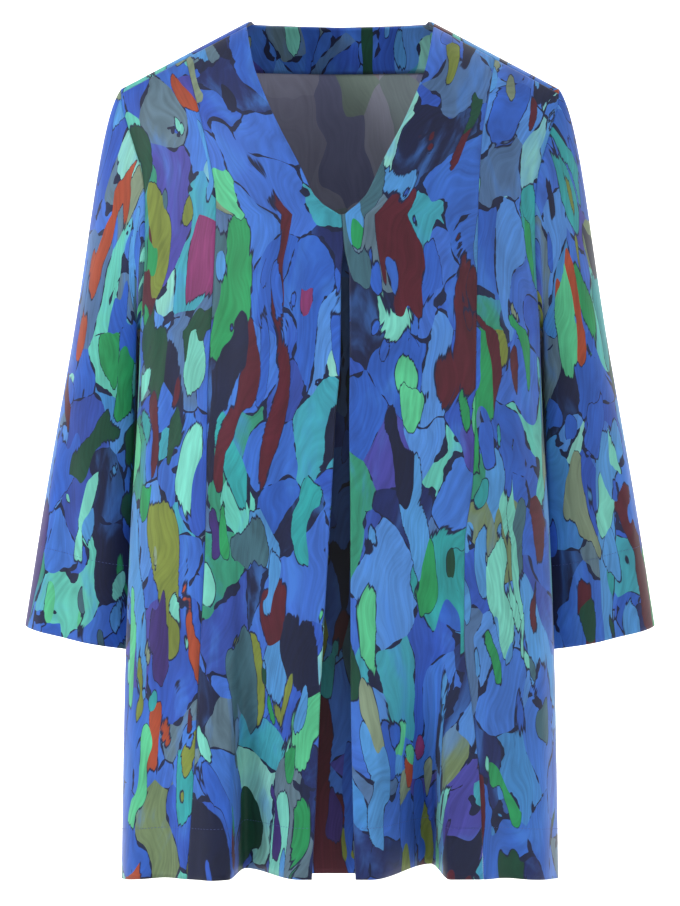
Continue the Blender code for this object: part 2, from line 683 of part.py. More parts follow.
def sleeve(side, front_seam, back_seam):
    """A tube of rings from the armhole seam to the cuff. Its columns start at the underarm
    and go up the front of the armhole, over the shoulder and down the back."""
    sign = -1 if side == "left" else 1
    loops = []
    for front_face, back_face in zip(front_seam, back_seam):
        up = front_face[UNDERARM_ROW:-1]
        down = back_face[: UNDERARM_ROW : -1]
        loops.append(np.concatenate([up, down]) * (sign, 1, 1))
    armhole, armhole_wrong = loops
    body_normal = (armhole - armhole_wrong) / WALL
    around = np.linalg.norm(np.diff(armhole, axis=0, append=armhole[:1]), axis=1)
    share = np.concatenate([[0], np.cumsum(around)[:-1]]) / around.sum()
    over = share[len(front_seam[0]) - UNDERARM_ROW]
    turn = np.where(
        share < over, math.pi * (1 - share / over), -math.pi * (share - over) / (1 - over)
    )
    first_ring = sleeve_ring_point(np.zeros(len(turn)), turn)
    span = np.linalg.norm(first_ring - armhole, axis=1)[:, None]
    underarm = ((1 - np.cos(turn)) / 2)[:, None] ** UNDERARM_POWER
    leave = between(np.array(LEAVES_SHOULDER), np.array(LEAVES_UNDERARM), underarm)
    lean = (leave * body_normal).sum(axis=1)[:, None]
    turned_back = TURN_BACK_BY_LEAN * lean + TURN_BACK_AT_UNDERARM * underarm
    turned_back = np.clip(turned_back, 0, 1)
    armhole = armhole + body_normal * SEAM_GAP * turned_back
    arrive = sleeve_ring_point(np.full(len(turn), ARRIVING_SHARE), turn) - first_ring
    arrive = arrive / np.linalg.norm(arrive, axis=1)[:, None]
    rings = []
    for step in range(SLEEVE_HEAD_ROWS):
        t = step / SLEEVE_HEAD_ROWS
        rings.append(
            (1 - t) ** 3 * armhole
            + 3 * t * (1 - t) ** 2 * (armhole + leave * SLEEVE_HEAD_LIFT * span)
            + 3 * t**2 * (1 - t) * (first_ring - arrive * SLEEVE_HEAD_DROP * span)
            + t**3 * first_ring
        )
    for step in range(SLEEVE_ROWS + 1):
        rings.append(sleeve_ring_point(np.full(len(turn), step / SLEEVE_ROWS), turn))
    rings = np.array(rings)
    reach = body_reach(rings[1:, :, 1], rings[1:, :, 2]) + SLEEVE_CLEARANCE
    near = rings[1:, :, 2] < NECK_DROP
    rings[1:, :, 0] = np.where(near, np.maximum(rings[1:, :, 0], reach), rings[1:, :, 0])
    along = np.roll(rings, -1, axis=1) - np.roll(rings, 1, axis=1)
    down = np.gradient(rings, axis=0)
    normal = np.cross(down, along)
    normal = normal / np.linalg.norm(normal, axis=-1, keepdims=True)
    wrong = rings - normal * WALL
    wrong[0] = between(armhole_wrong, wrong[0], turned_back)
    faces = [rings * (sign, 1, 1), wrong * (sign, 1, 1)]
    return ease_seam(faces, 0, "first")


def main():
    for old in list(bpy.data.objects):
        bpy.data.objects.remove(old)
    fronts = {side: front_panel(side) for side in ("left", "right")}
    sides = {side: side_front_panel(side) for side in ("left", "right")}
    back, back_seams = back_panel()
    pieces = [
        cloth_wall("front_left", fronts["left"], PRINT_BLUE),
        cloth_wall("front_right", fronts["right"], PRINT_BLUE),
        cloth_wall("pleat_underlay", pleat_underlay(fronts["left"], fronts["right"]), NAVY),
        cloth_wall("side_front_left", sides["left"][0], SKY_BLUE),
        cloth_wall("side_front_right", sides["right"][0], SKY_BLUE),
        cloth_wall("back", back, PRINT_BLUE),
        cloth_wall("back_neck_facing", back_neck_facing(back), SKY_BLUE),
    ]
    for side in ("left", "right"):
        tube = sleeve(side, sides[side][1], back_seams[side])
        pieces.append(cloth_wall(f"sleeve_{side}", tube, SKY_BLUE, tube=True))
    blouse = bpy.data.collections.new("long_blouse")
    bpy.context.scene.collection.children.link(blouse)
    for piece in pieces:
        blouse.objects.link(piece)


main()
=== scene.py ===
"""The looks of a long blouse: every cloth piece as a thin shell on its solid's form.

The file follows the blouse as it is sewn: the camera, the centre fronts with their pleat, the
underlay, the side fronts, the back, the back neck facing, the sleeves and the stitching, and
last the plain surroundings. Units are metres, +Z is up and the front faces -Y.
"""

import math
from collections import namedtuple

import bmesh
import bpy
import numpy as np
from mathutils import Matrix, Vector


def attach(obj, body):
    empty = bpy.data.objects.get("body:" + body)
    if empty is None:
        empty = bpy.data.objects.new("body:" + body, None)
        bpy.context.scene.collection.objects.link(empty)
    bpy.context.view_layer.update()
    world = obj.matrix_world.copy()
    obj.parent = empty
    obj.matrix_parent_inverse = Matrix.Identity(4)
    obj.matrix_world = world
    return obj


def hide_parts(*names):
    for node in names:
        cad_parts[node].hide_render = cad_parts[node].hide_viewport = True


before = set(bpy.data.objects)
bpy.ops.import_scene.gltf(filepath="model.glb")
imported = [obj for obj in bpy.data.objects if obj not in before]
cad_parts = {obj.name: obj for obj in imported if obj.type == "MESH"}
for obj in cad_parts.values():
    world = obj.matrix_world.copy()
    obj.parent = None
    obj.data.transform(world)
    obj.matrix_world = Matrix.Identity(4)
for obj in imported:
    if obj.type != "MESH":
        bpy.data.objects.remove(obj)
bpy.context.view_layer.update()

# The camera stands level with the middle of the blouse and looks a little down, as for a
# catalogue picture taken with a long lens.
CAMERA_DISTANCE = 2.8
CAMERA_HEIGHT = -0.209
CAMERA_DIP = math.radians(3.36)
CAMERA_LENS = 117.3
eye = bpy.data.cameras.new("camera")
eye.lens = CAMERA_LENS
camera = bpy.data.objects.new("camera", eye)
camera.location = (0.0, -CAMERA_DISTANCE, CAMERA_HEIGHT)
camera.rotation_euler = (math.radians(90) - CAMERA_DIP, 0.0, 0.0)
bpy.context.scene.collection.objects.link(camera)
bpy.context.scene.camera = camera

# The centre fronts: two pieces of printed viscose crepe with a soft fold in each, turned
# back on themselves at the middle to make an inverted pleat below the point of the V neck.
# The body's form, the cloth's thickness and its print belong to every piece that follows.
CLOTH = 0.0007
SEAM_GAP = 0.0003
SIGNS = {"left": -1, "right": 1}

# The solids' wall, between the two faces on which a panel's points are worked out
WALL = 0.0015

# Heights and shoulder sizes
NECK_DROP = -0.150
UNDERARM = -0.256
HEM_CENTRE_FRONT = -0.7515
HEM_SIDE = -0.7750
HEM_CENTRE_BACK = -0.768
SHOULDER_NECK_X = 0.0885
SHOULDER_NECK_Z = 0.0325
SHOULDER_SLOPE = 0.524
SHOULDER_ROUND = 0.16
SEAM_BELOW_RIDGE = 0.005

# Inverted pleat
PLEAT_FOLD_RADIUS = 0.00175
PLEAT_RETURN = 0.040

# Horizontal sections of the body. Square is the exponent of the section's rounded outline,
# 2 for an ellipse and more for a squarer one.
BodySection = namedtuple(
    "BodySection", "height half_width front back middle front_square back_square"
)
BODY_SECTIONS = (
    BodySection(-0.780, 0.2064, 0.126, 0.122, -0.030, 2.6, 2.2),
    BodySection(-0.600, 0.2030, 0.118, 0.110, -0.030, 2.5, 2.2),
    BodySection(-0.450, 0.1972, 0.115, 0.104, -0.029, 2.4, 2.2),
    BodySection(-0.330, 0.1900, 0.118, 0.107, -0.025, 2.3, 2.2),
    BodySection(-0.256, 0.1880, 0.119, 0.112, -0.018, 2.2, 2.2),
    BodySection(-0.200, 0.1950, 0.116, 0.114, -0.011, 2.1, 2.2),
    BodySection(-0.140, 0.2050, 0.108, 0.112, -0.004, 2.0, 2.2),
    BodySection(-0.080, 0.2130, 0.097, 0.104, 0.000, 2.0, 2.1),
    BodySection(-0.010, 0.2150, 0.080, 0.092, 0.000, 2.0, 2.0),
    BodySection(0.090, 0.2150, 0.062, 0.078, 0.000, 2.0, 2.0),
)

# Distances from the centre plane to the neck edge and the princess seams
NeckEdge = namedtuple("NeckEdge", "height across")
NECK_EDGE = (
    NeckEdge(-0.150, 0.0020),
    NeckEdge(-0.135, 0.0215),
    NeckEdge(-0.105, 0.0365),
    NeckEdge(-0.064, 0.0580),
    NeckEdge(-0.031, 0.0725),
    NeckEdge(-0.012, 0.0795),
    NeckEdge(0.034, 0.0890),
)
PrincessSeam = namedtuple("PrincessSeam", "height left right")
PRINCESS_SEAMS = (
    PrincessSeam(-0.765, 0.1410, 0.1315),
    PrincessSeam(-0.668, 0.1341, 0.1275),
    PrincessSeam(-0.597, 0.1304, 0.1205),
    PrincessSeam(-0.536, 0.1270, 0.1130),
    PrincessSeam(-0.452, 0.1228, 0.1135),
    PrincessSeam(-0.390, 0.1215, 0.1210),
    PrincessSeam(-0.313, 0.1204, 0.1235),
    PrincessSeam(-0.230, 0.1165, 0.1250),
    PrincessSeam(-0.141, 0.1135, 0.1270),
    PrincessSeam(-0.080, 0.1240, 0.1310),
    PrincessSeam(-0.030, 0.1370, 0.1400),
    PrincessSeam(0.010, 0.1480, 0.1480),
)

# The two folded edges of the pleat, and how far the underlay lies behind them
PleatLine = namedtuple("PleatLine", "height left right set_back")
PLEAT_LINES = (
    PleatLine(-0.765, -0.0262, 0.0145, 0.026),
    PleatLine(-0.690, -0.0221, 0.0118, 0.025),
    PleatLine(-0.575, -0.0171, 0.0096, 0.023),
    PleatLine(-0.500, -0.0131, 0.0094, 0.020),
    PleatLine(-0.407, -0.0077, 0.0092, 0.017),
    PleatLine(-0.334, -0.0040, 0.0082, 0.013),
    PleatLine(-0.278, 0.0004, 0.0088, 0.010),
    PleatLine(-0.205, 0.0010, 0.0082, 0.007),
    PleatLine(-0.178, 0.0033, 0.0036, 0.005),
    PleatLine(-0.150, 0.0014, 0.0017, 0.005),
)

# Soft folds that hang in the cloth. Place is the turn round the body in degrees, from the
# centre line to 90 at a side seam, and minus on the left. A fold grows from nothing at its
# start height to its full depth at the hem, and minus depths are hollows.
Fold = namedtuple("Fold", "place_at_start place_at_hem start depth left_width right_width")
FRONT_FOLDS = (
    Fold(-26.0, -25.2, -0.40, -0.056, 4.2, 15.0),
    Fold(24.0, 24.6, -0.44, -0.078, 17.0, 4.2),
    Fold(-40.0, -34.0, -0.30, 0.006, 7.0, 7.0),
    Fold(-50.0, -52.0, -0.34, -0.009, 11.0, 12.0),
    Fold(50.0, 47.0, -0.46, -0.007, 8.0, 12.0),
    Fold(-72.0, -70.0, -0.40, 0.004, 12.0, 12.0),
    Fold(66.0, 62.0, -0.36, 0.005, 14.0, 14.0),
)
BACK_FOLDS = (
    Fold(-48.0, -56.0, -0.36, -0.020, 11.0, 13.0),
    Fold(-24.0, -31.0, -0.28, 0.012, 9.0, 11.0),
    Fold(-9.0, -11.0, -0.34, -0.030, 12.0, 9.0),
    Fold(11.0, 10.0, -0.26, 0.013, 9.0, 10.0),
    Fold(27.0, 33.0, -0.31, -0.026, 10.0, 12.0),
    Fold(49.0, 58.0, -0.38, -0.016, 12.0, 10.0),
)

# The share of a fold's depth that is there from its start, how its push turns sideways near
# a side seam, and over how much cloth the neck edge eases into the pleat at the neck point
FOLD_START_SHARE = 0.4
SIDEWAYS_POWER = 7
NECK_POINT_BLEND = 0.004

# Soft creases over the folds. Place is a turn round the body in degrees, lean
# is degrees of turn for each metre of height, reach is half the crease's length and width
# half its width, both in metres, and minus depths are troughs.
Crease = namedtuple("Crease", "place height reach lean width depth")
FRONT_CREASES = (
    Crease(-60.0, -0.262, 0.085, 95.0, 0.010, -0.0020),
    Crease(-52.0, -0.300, 0.110, 70.0, 0.014, -0.0016),
    Crease(-66.0, -0.345, 0.070, 60.0, 0.012, 0.0014),
    Crease(58.0, -0.270, 0.090, -88.0, 0.011, -0.0020),
    Crease(50.0, -0.318, 0.100, -64.0, 0.014, -0.0017),
    Crease(68.0, -0.362, 0.080, -50.0, 0.011, 0.0013),
    Crease(-31.0, -0.235, 0.090, 22.0, 0.012, -0.0011),
    Crease(-14.0, -0.330, 0.120, 10.0, 0.012, -0.0014),
    Crease(17.0, -0.300, 0.130, -12.0, 0.013, -0.0015),
    Crease(30.0, -0.220, 0.080, -18.0, 0.010, -0.0011),
    Crease(-44.0, -0.520, 0.120, 8.0, 0.016, 0.0018),
    Crease(-62.0, -0.600, 0.150, -5.0, 0.015, -0.0020),
    Crease(-78.0, -0.560, 0.140, 6.0, 0.014, 0.0016),
    Crease(41.0, -0.560, 0.110, -10.0, 0.015, -0.0016),
    Crease(60.0, -0.640, 0.120, 4.0, 0.016, -0.0020),
    Crease(76.0, -0.520, 0.150, -8.0, 0.013, 0.0016),
    Crease(-58.0, -0.090, 0.060, 120.0, 0.012, -0.0013),
    Crease(56.0, -0.095, 0.060, -115.0, 0.012, -0.0014),
    Crease(-9.0, -0.560, 0.140, 4.0, 0.010, 0.0012),
    Crease(9.0, -0.600, 0.150, -3.0, 0.011, 0.0013),
)
BACK_CREASES = (
    Crease(-58.0, -0.190, 0.090, 70.0, 0.014, -0.0024),
    Crease(60.0, -0.200, 0.095, -66.0, 0.015, -0.0024),
    Crease(-38.0, -0.300, 0.130, 34.0, 0.016, -0.0020),
    Crease(36.0, -0.330, 0.120, -30.0, 0.015, -0.0019),
    Crease(-4.0, -0.230, 0.140, 6.0, 0.018, -0.0018),
    Crease(12.0, -0.120, 0.070, -30.0, 0.014, 0.0014),
    Crease(-16.0, -0.420, 0.120, 10.0, 0.013, 0.0018),
    Crease(20.0, -0.500, 0.150, -6.0, 0.014, -0.0020),
    Crease(-68.0, -0.480, 0.140, 8.0, 0.014, -0.0020),
    Crease(70.0, -0.560, 0.150, -7.0, 0.013, 0.0018),
    Crease(-43.0, -0.640, 0.110, 5.0, 0.012, 0.0017),
    Crease(2.0, -0.650, 0.120, 3.0, 0.013, -0.0018),
)
# About how much cloth a degree of turn takes up
TURN_WIDTH = 0.0035

# Rows and columns of the shells, a few millimetres apart and closer beside a seam, and the
# rounds in which a place on the shoulder is settled
LOWER_ROWS = 84
MIDDLE_ROWS = 20
UPPER_ROWS = 40
ColumnBand = namedtuple("ColumnBand", "first last columns")
FRONT_COLUMNS = (ColumnBand(0, 0.02, 4), ColumnBand(0.05, 0.97, 36), ColumnBand(0.98, 1, 4))
FOLD_STEPS = 8
RETURN_STEPS = 8
SETTLING_ROUNDS = 16


def crease_depth(turn, height, creases):
    """How far the creases push the cloth out at a place on the body."""
    degrees = np.degrees(turn)
    total = np.zeros(np.broadcast(turn, height).shape)
    for crease in creases:
        above = (height - crease.height) / crease.reach
        away = (degrees - crease.place - crease.lean * (height - crease.height)) * TURN_WIDTH
        total = total + crease.depth * np.exp(-(above**2) - (away / crease.width) ** 2)
    return total


def table_curve(rows, column):
    """A smooth function of height through one column of a table, without overshoot."""
    ordered = sorted(rows, key=lambda row: row[0])
    places = np.array([row[0] for row in ordered])
    values = np.array([getattr(row, column) for row in ordered])
    steps = np.diff(values) / np.diff(places)
    slopes = np.concatenate([steps[:1], np.zeros(len(steps) - 1), steps[-1:]])
    for i in range(1, len(steps)):
        before, after = steps[i - 1], steps[i]
        if before * after > 0:
            slopes[i] = 2 * before * after / (before + after)

    def value(place):
        place = np.clip(place, places[0], places[-1])
        i = np.clip(np.searchsorted(places, place) - 1, 0, len(places) - 2)
        span = places[i + 1] - places[i]
        t = (place - places[i]) / span
        start = (1 + 2 * t) * (1 - t) ** 2 * values[i] + t * (1 - t) ** 2 * span * slopes[i]
        end = (3 - 2 * t) * t**2 * values[i + 1] - (1 - t) * t**2 * span * slopes[i + 1]
        return start + end

    return value


half_width_at = table_curve(BODY_SECTIONS, "half_width")
middle_at = table_curve(BODY_SECTIONS, "middle")
depth_at = {side: table_curve(BODY_SECTIONS, side) for side in ("front", "back")}
square_at = {side: table_curve(BODY_SECTIONS, f"{side}_square") for side in ("front", "back")}
princess_at = {side: table_curve(PRINCESS_SEAMS, side) for side in ("left", "right")}
pleat_at = {side: table_curve(PLEAT_LINES, side) for side in ("left", "right")}
set_back_at = table_curve(PLEAT_LINES, "set_back")
neck_edge_at = table_curve(NECK_EDGE, "across")


def smooth_step(t):
    t = np.clip(t, 0, 1)
    return t * t * (3 - 2 * t)


def between(first, last, share):
    return first + (last - first) * share


def turn_of(across, height):
    """The turn round the body, in radians, of a place that far from the centre plane."""
    return np.arcsin(np.clip(across / half_width_at(height), -1, 1))


def ridge_height(across):
    """Height of the shoulder ridge, carried on in a straight line above the neck."""
    return SHOULDER_NECK_Z - SHOULDER_SLOPE * (np.abs(across) - SHOULDER_NECK_X)


def hem_height(turn, side):
    """Height of the hem, which dips towards the side seams."""
    centre = HEM_CENTRE_FRONT if side == "front" else HEM_CENTRE_BACK
    square = square_at[side](centre)
    out = (1 - np.abs(np.sin(turn)) ** square) ** (1 / square)
    return HEM_SIDE + (centre - HEM_SIDE) * out


def fold_depth(turn, height, folds):
    """How far the folds push the cloth out at a place on the body."""
    degrees = np.degrees(turn)
    total = np.zeros(np.broadcast(turn, height).shape)
    for fold in folds:
        grown = np.clip((fold.start - height) / (fold.start - HEM_SIDE), 0, 1)
        place = fold.place_at_start + (fold.place_at_hem - fold.place_at_start) * grown
        away = degrees - place
        width = np.where(away < 0, fold.left_width, fold.right_width)
        shape = np.cos(np.pi / 2 * np.clip(np.abs(away) / width, 0, 1)) ** 2
        grown = smooth_step(grown) * between(FOLD_START_SHARE, 1, grown)
        total = total + fold.depth * grown * shape
    return total


def body_point(turn, height, side):
    """The right side of the cloth at a turn and height, on the front or the back."""
    front = side == "front"
    square = square_at[side](height)
    out = np.clip(1 - np.abs(np.sin(turn)) ** square, 0, 1) ** (1 / square)
    x = half_width_at(height) * np.sin(turn)
    below = np.clip((ridge_height(x) - height) / SHOULDER_ROUND, 0, 1)
    roll = np.sqrt(1 - (1 - below) ** 2)
    pushed = fold_depth(turn, height, FRONT_FOLDS if front else BACK_FOLDS)
    pushed = pushed + crease_depth(turn, height, FRONT_CREASES if front else BACK_CREASES)
    sideways = np.sin(turn) ** SIDEWAYS_POWER
    facing = -1 if front else 1
    y = middle_at(height) + facing * depth_at[side](height) * out * roll
    x = x + pushed * sideways
    y = y + facing * pushed * np.sqrt(1 - sideways**2)
    return np.stack([x, y, np.broadcast_to(height, x.shape)], axis=-1)


# A row lies a share of the way up from a low height to a high one. No low height means the
# hem, and no high one means the panel's top edge, to which the rows fan out.
Row = namedtuple("Row", "low high up")


def rows_between(low, high, count):
    return [Row(low, high, step / count) for step in range(count)]


ROWS = (
    rows_between(None, UNDERARM, LOWER_ROWS)
    + rows_between(UNDERARM, NECK_DROP, MIDDLE_ROWS)
    + rows_between(NECK_DROP, None, UPPER_ROWS)
    + [Row(NECK_DROP, None, 1.0)]
)
UNDERARM_ROW = LOWER_ROWS
NECK_ROW = LOWER_ROWS + MIDDLE_ROWS


def across_at(height, share, turn_across):
    return np.abs(half_width_at(height) * np.sin(turn_across(height, share)))


def column_ends(shares, turn_across, top_root):
    """Where each column ends. A root is the square root of a place's drop below the shoulder
    ridge, and a minus root is past the ridge, on the other side."""
    height = NECK_DROP + 0 * shares
    for _ in range(SETTLING_ROUNDS):
        height = ridge_height(across_at(height, shares, turn_across))
    return top_root(across_at(height, shares, turn_across))


def panel_point(row, turn_across, share, side, end_root):
    """A point of a panel, in a column that lies a share of the way across it."""
    if row.high is not None:
        turn = turn_across(HEM_SIDE, share)
        low = hem_height(turn, side) if row.low is None else row.low
        height = low + (row.high - low) * row.up + 0 * share
        return body_point(turn_across(height, share), height, side)
    height = row.low + 0 * share
    for _ in range(SETTLING_ROUNDS):
        across = across_at(height, share, turn_across)
        root = between(np.sqrt(ridge_height(across) - row.low), end_root, row.up)
        height = ridge_height(across) - root**2
    turn = turn_across(height, share)
    own_side = body_point(turn, height, side)
    other_side = body_point(turn, height, "front" if side == "back" else "back")
    return np.where((root < 0)[..., None], other_side, own_side)


def panel(shares, turn_across, side, top_root):
    """Grids of points on both faces of a panel's wall, a row of points for each row."""
    nudge = 1e-4
    before = np.clip(shares - nudge, 0, 1)
    after = np.clip(shares + nudge, 0, 1)
    leftward = turn_across(UNDERARM, 1.0) < turn_across(UNDERARM, 0.0)
    ends, ends_before, ends_after = (
        column_ends(columns, turn_across, top_root) for columns in (shares, before, after)
    )
    faces = [[], []]
    for row in ROWS:
        lower = row._replace(up=max(row.up - nudge, 0))
        upper = row._replace(up=min(row.up + nudge, 1))
        centre = panel_point(row, turn_across, shares, side, ends)
        along = panel_point(row, turn_across, after, side, ends_after)
        along = along - panel_point(row, turn_across, before, side, ends_before)
        upward = panel_point(upper, turn_across, shares, side, ends)
        upward = upward - panel_point(lower, turn_across, shares, side, ends)
        normal = np.cross(along, upward)
        if (side == "front") == leftward:
            normal = -normal
        normal = normal / np.linalg.norm(normal, axis=-1, keepdims=True)
        faces[0].append(centre)
        faces[1].append(centre - normal * WALL)
    return np.array(faces[0]), np.array(faces[1])


# How far a seam is rolled in, where the cloth turns to its allowance, and how wide the roll is
SEAM_DIP = 0.0006
SEAM_ROLL = 0.0018


def rolled_seam(faces, axis, end):
    """The right side of a panel, rolled in along one of its edges."""
    right_side, wrong_side = faces
    steps = np.linalg.norm(np.diff(right_side, axis=axis), axis=-1)
    if end == "last":
        steps = np.flip(steps, axis)
    reached = np.insert(np.cumsum(steps, axis), 0, 0.0, axis)
    if end == "last":
        reached = np.flip(reached, axis)
    dip = SEAM_DIP * np.exp(-((reached / SEAM_ROLL) ** 2))
    return right_side + (wrong_side - right_side) / WALL * dip[..., None]


def ease_seam(faces, axis, end):
    """Draw one edge of a wall back along the cloth, to leave half a seam's gap."""
    edge = 0 if end == "first" else -1
    beside = 1 if end == "first" else -2
    right_side = faces[0]
    edge_at = [slice(None), slice(None)]
    beside_at = [slice(None), slice(None)]
    edge_at[axis] = edge
    beside_at[axis] = beside
    inward = right_side[tuple(beside_at)] - right_side[tuple(edge_at)]
    inward = inward / np.linalg.norm(inward, axis=-1, keepdims=True)
    for face in faces:
        face[tuple(edge_at)] = face[tuple(edge_at)] + inward * SEAM_GAP / 2
    return faces


def hex_colour(text):
    """An sRGB hex colour as the linear values that a shader takes."""
    values = [int(text[i : i + 2], 16) / 255 for i in (0, 2, 4)]
    return [v / 12.92 if v <= 0.04045 else ((v + 0.055) / 1.055) ** 2.4 for v in values] + [1.0]


def add_node(tree, kind, settings=None, links=None, steps=()):
    """Add a shader node, with its properties, its inputs' values, what feeds them and, on a
    ramp, the flat colours that it steps through, each with its share of the whole."""
    node = tree.nodes.new(kind)
    for name, value in (settings or {}).items():
        if isinstance(name, str) and hasattr(node, name):
            setattr(node, name, value)
        else:
            node.inputs[name].default_value = value
    for name, source in (links or {}).items():
        tree.links.new(source, node.inputs[name])
    if steps:
        ramp = node.color_ramp
        ramp.interpolation = "CONSTANT"
        place = 0.0
        for i, (colour, share) in enumerate(steps):
            stop = ramp.elements[0] if i == 0 else ramp.elements.new(place)
            stop.position = place
            stop.color = hex_colour(colour)
            place += share / sum(part for _, part in steps)
        ramp.elements.remove(ramp.elements[-1])
    return node


# The print: brushed patches a few centimetres wide in blues and sea greens, with smaller
# leaning strokes in green, rust and pink over them, and dark broken edges between the patches.
# A colour's number is its share.
PATCHES = (
    ("3A6ACB", 12), ("2B55BB", 11), ("4F8AD8", 6), ("2F4BA6", 5), ("172661", 6), ("4C6F9E", 6),
    ("5FC3B4", 5), ("3D74D2", 10), ("3B9FB4", 4), ("4646A4", 3), ("3366C6", 11), ("86CDC2", 3),
    ("5B7688", 5), ("2A5CBE", 9), ("6F8560", 4), ("121B42", 4), ("3F86C9", 6), ("2F8F74", 3),
)
STROKES = (
    ("22935A", 6), ("0F4534", 7), ("55C08E", 5), ("76863A", 4), ("52182A", 6), ("A2452B", 1),
    ("74CDBE", 6), ("0D173A", 7), ("2D5FC4", 9), ("82336C", 1), ("3B2A74", 3), ("4B90D2", 7),
    ("7D9079", 4), ("3C6474", 5), ("2A9AA0", 4),
)
OUTLINE = "111C42"
WASH = "3C74C4"
WRONG_SIDE_SHADES = (
    ("A3A4BC", 6), ("9A9BB4", 6), ("A79CA4", 3), ("93A2A6", 3), ("8488AC", 5), ("AEB1C4", 4),
    ("7C82A2", 3), ("94A79E", 3),
)

# A layer's count is its motifs to a metre, so a patch is about 48 mm across, a stroke 45 mm and
# a touch 28 mm. Stretch draws them out lengthways, lean turns them, in degrees, swirl is how
# far a slow noise bends them, in metres, and bare share is how much of the layer is left out.
PrintLayer = namedtuple("PrintLayer", "count stretch lean swirl bare_share")
PATCH_LAYER = PrintLayer(21.0, 0.62, 18.0, 0.150, 0.0)
STROKE_LAYER = PrintLayer(22.0, 0.36, -32.0, 0.200, 0.42)
TOUCH_LAYER = PrintLayer(36.0, 0.34, 40.0, 0.150, 0.56)
SWIRL_COUNT_SHARE = 0.42

# Paint marks to a metre: bristles across and along the brush, washes, and breaks in the edges
BRISTLE_COUNTS = (300.0, 34.0, 1.0)
WASH_COUNT = 30.0
BREAK_COUNT = 50.0

# The strongest wash, and as shares of a motif, the widest edge, the fraying by the bristles,
# and how far a stroke and the dark rim round it reach from its middle
WASH_STRENGTH = 0.6
EDGE_WIDTH = 0.055
FRAY = 0.16
STROKE_REACH = 0.565
RIM_REACH = 0.590
REACH_SOFTNESS = 0.012

# The crepe's pebbles to a metre, 1.2 mm each. The real ones are about a third of that, which
# is too fine to show.
PEBBLE_COUNT = 850.0
PEBBLE_HEIGHT = 0.0004


def brushed(tree, place, layer):
    """Coordinates for one layer of the print, drawn out lengthways and bent by a slow noise."""
    mapped = add_node(
        tree, "ShaderNodeMapping",
        {"Rotation": (0.0, 0.0, math.radians(layer.lean)), "Scale": (1.0, layer.stretch, 1.0)},
        {"Vector": place},
    ).outputs["Vector"]
    bend = add_node(
        tree, "ShaderNodeTexNoise", {"Scale": layer.count * SWIRL_COUNT_SHARE, "Detail": 2.4},
        {"Vector": mapped},
    ).outputs["Color"]
    centred = add_node(
        tree, "ShaderNodeVectorMath", {"operation": "SUBTRACT", 1: (0.5, 0.5, 0.5)}, {0: bend}
    ).outputs["Vector"]
    grown = add_node(
        tree, "ShaderNodeVectorMath", {"operation": "SCALE", "Scale": layer.swirl}, {0: centred}
    ).outputs["Vector"]
    return add_node(
        tree, "ShaderNodeVectorMath", {"operation": "ADD"}, {0: mapped, 1: grown}
    ).outputs["Vector"]


def edged_patches(tree, colour, patch_place, place, wash):
    """Washes of blue over the patches, and dark broken edges between them."""
    washed = add_node(
        tree, "ShaderNodeMapRange",
        {
            "interpolation_type": "SMOOTHSTEP", "From Min": 0.48, "From Max": 0.72,
            "To Max": WASH_STRENGTH,
        },
        {"Value": wash},
    ).outputs["Result"]
    colour = add_node(
        tree, "ShaderNodeMix", {"data_type": "RGBA", 7: hex_colour(WASH)}, {0: washed, 6: colour}
    ).outputs[2]
    border = add_node(
        tree, "ShaderNodeTexVoronoi",
        {"feature": "DISTANCE_TO_EDGE", "Scale": PATCH_LAYER.count}, {"Vector": patch_place},
    ).outputs["Distance"]
    broken = add_node(
        tree, "ShaderNodeTexNoise", {"Scale": BREAK_COUNT, "Detail": 2.0}, {"Vector": place}
    ).outputs["Fac"]
    width = add_node(
        tree, "ShaderNodeMapRange",
        {"From Min": 0.45, "From Max": 0.70, "To Max": EDGE_WIDTH}, {"Value": broken},
    ).outputs["Result"]
    edge = add_node(
        tree, "ShaderNodeMath", {"operation": "LESS_THAN"}, {0: border, 1: width}
    ).outputs["Value"]
    return add_node(
        tree, "ShaderNodeMix", {"data_type": "RGBA", 7: hex_colour(OUTLINE)}, {0: edge, 6: colour}
    ).outputs[2]


def strokes_over(tree, colour, layer, layer_place, brush):
    """One layer of leaning strokes with frayed ends, each in one colour with a dark rim."""
    strokes = add_node(
        tree, "ShaderNodeTexVoronoi", {"Scale": layer.count}, {"Vector": layer_place}
    )
    parts = add_node(tree, "ShaderNodeSeparateColor", links={"Color": strokes.outputs["Color"]})
    chosen = add_node(
        tree, "ShaderNodeMath", {"operation": "GREATER_THAN", 1: layer.bare_share},
        {0: parts.outputs["Green"]},
    ).outputs["Value"]
    frayed = add_node(
        tree, "ShaderNodeMath", {"operation": "MULTIPLY_ADD", 1: FRAY},
        {0: brush, 2: strokes.outputs["Distance"]},
    ).outputs["Value"]
    paint = add_node(
        tree, "ShaderNodeValToRGB", links={"Fac": parts.outputs["Red"]}, steps=STROKES
    ).outputs["Color"]
    for reach, over in ((RIM_REACH, None), (STROKE_REACH, paint)):
        inside = add_node(
            tree, "ShaderNodeMapRange",
            {"From Min": reach, "From Max": reach - REACH_SOFTNESS}, {"Value": frayed},
        ).outputs["Result"]
        mask = add_node(
            tree, "ShaderNodeMath", {"operation": "MULTIPLY"}, {0: chosen, 1: inside}
        ).outputs["Value"]
        sources = {0: mask, 6: colour}
        if over:
            sources[7] = over
        colour = add_node(
            tree, "ShaderNodeMix", {"data_type": "RGBA", 7: hex_colour(OUTLINE)}, sources
        ).outputs[2]
    return colour


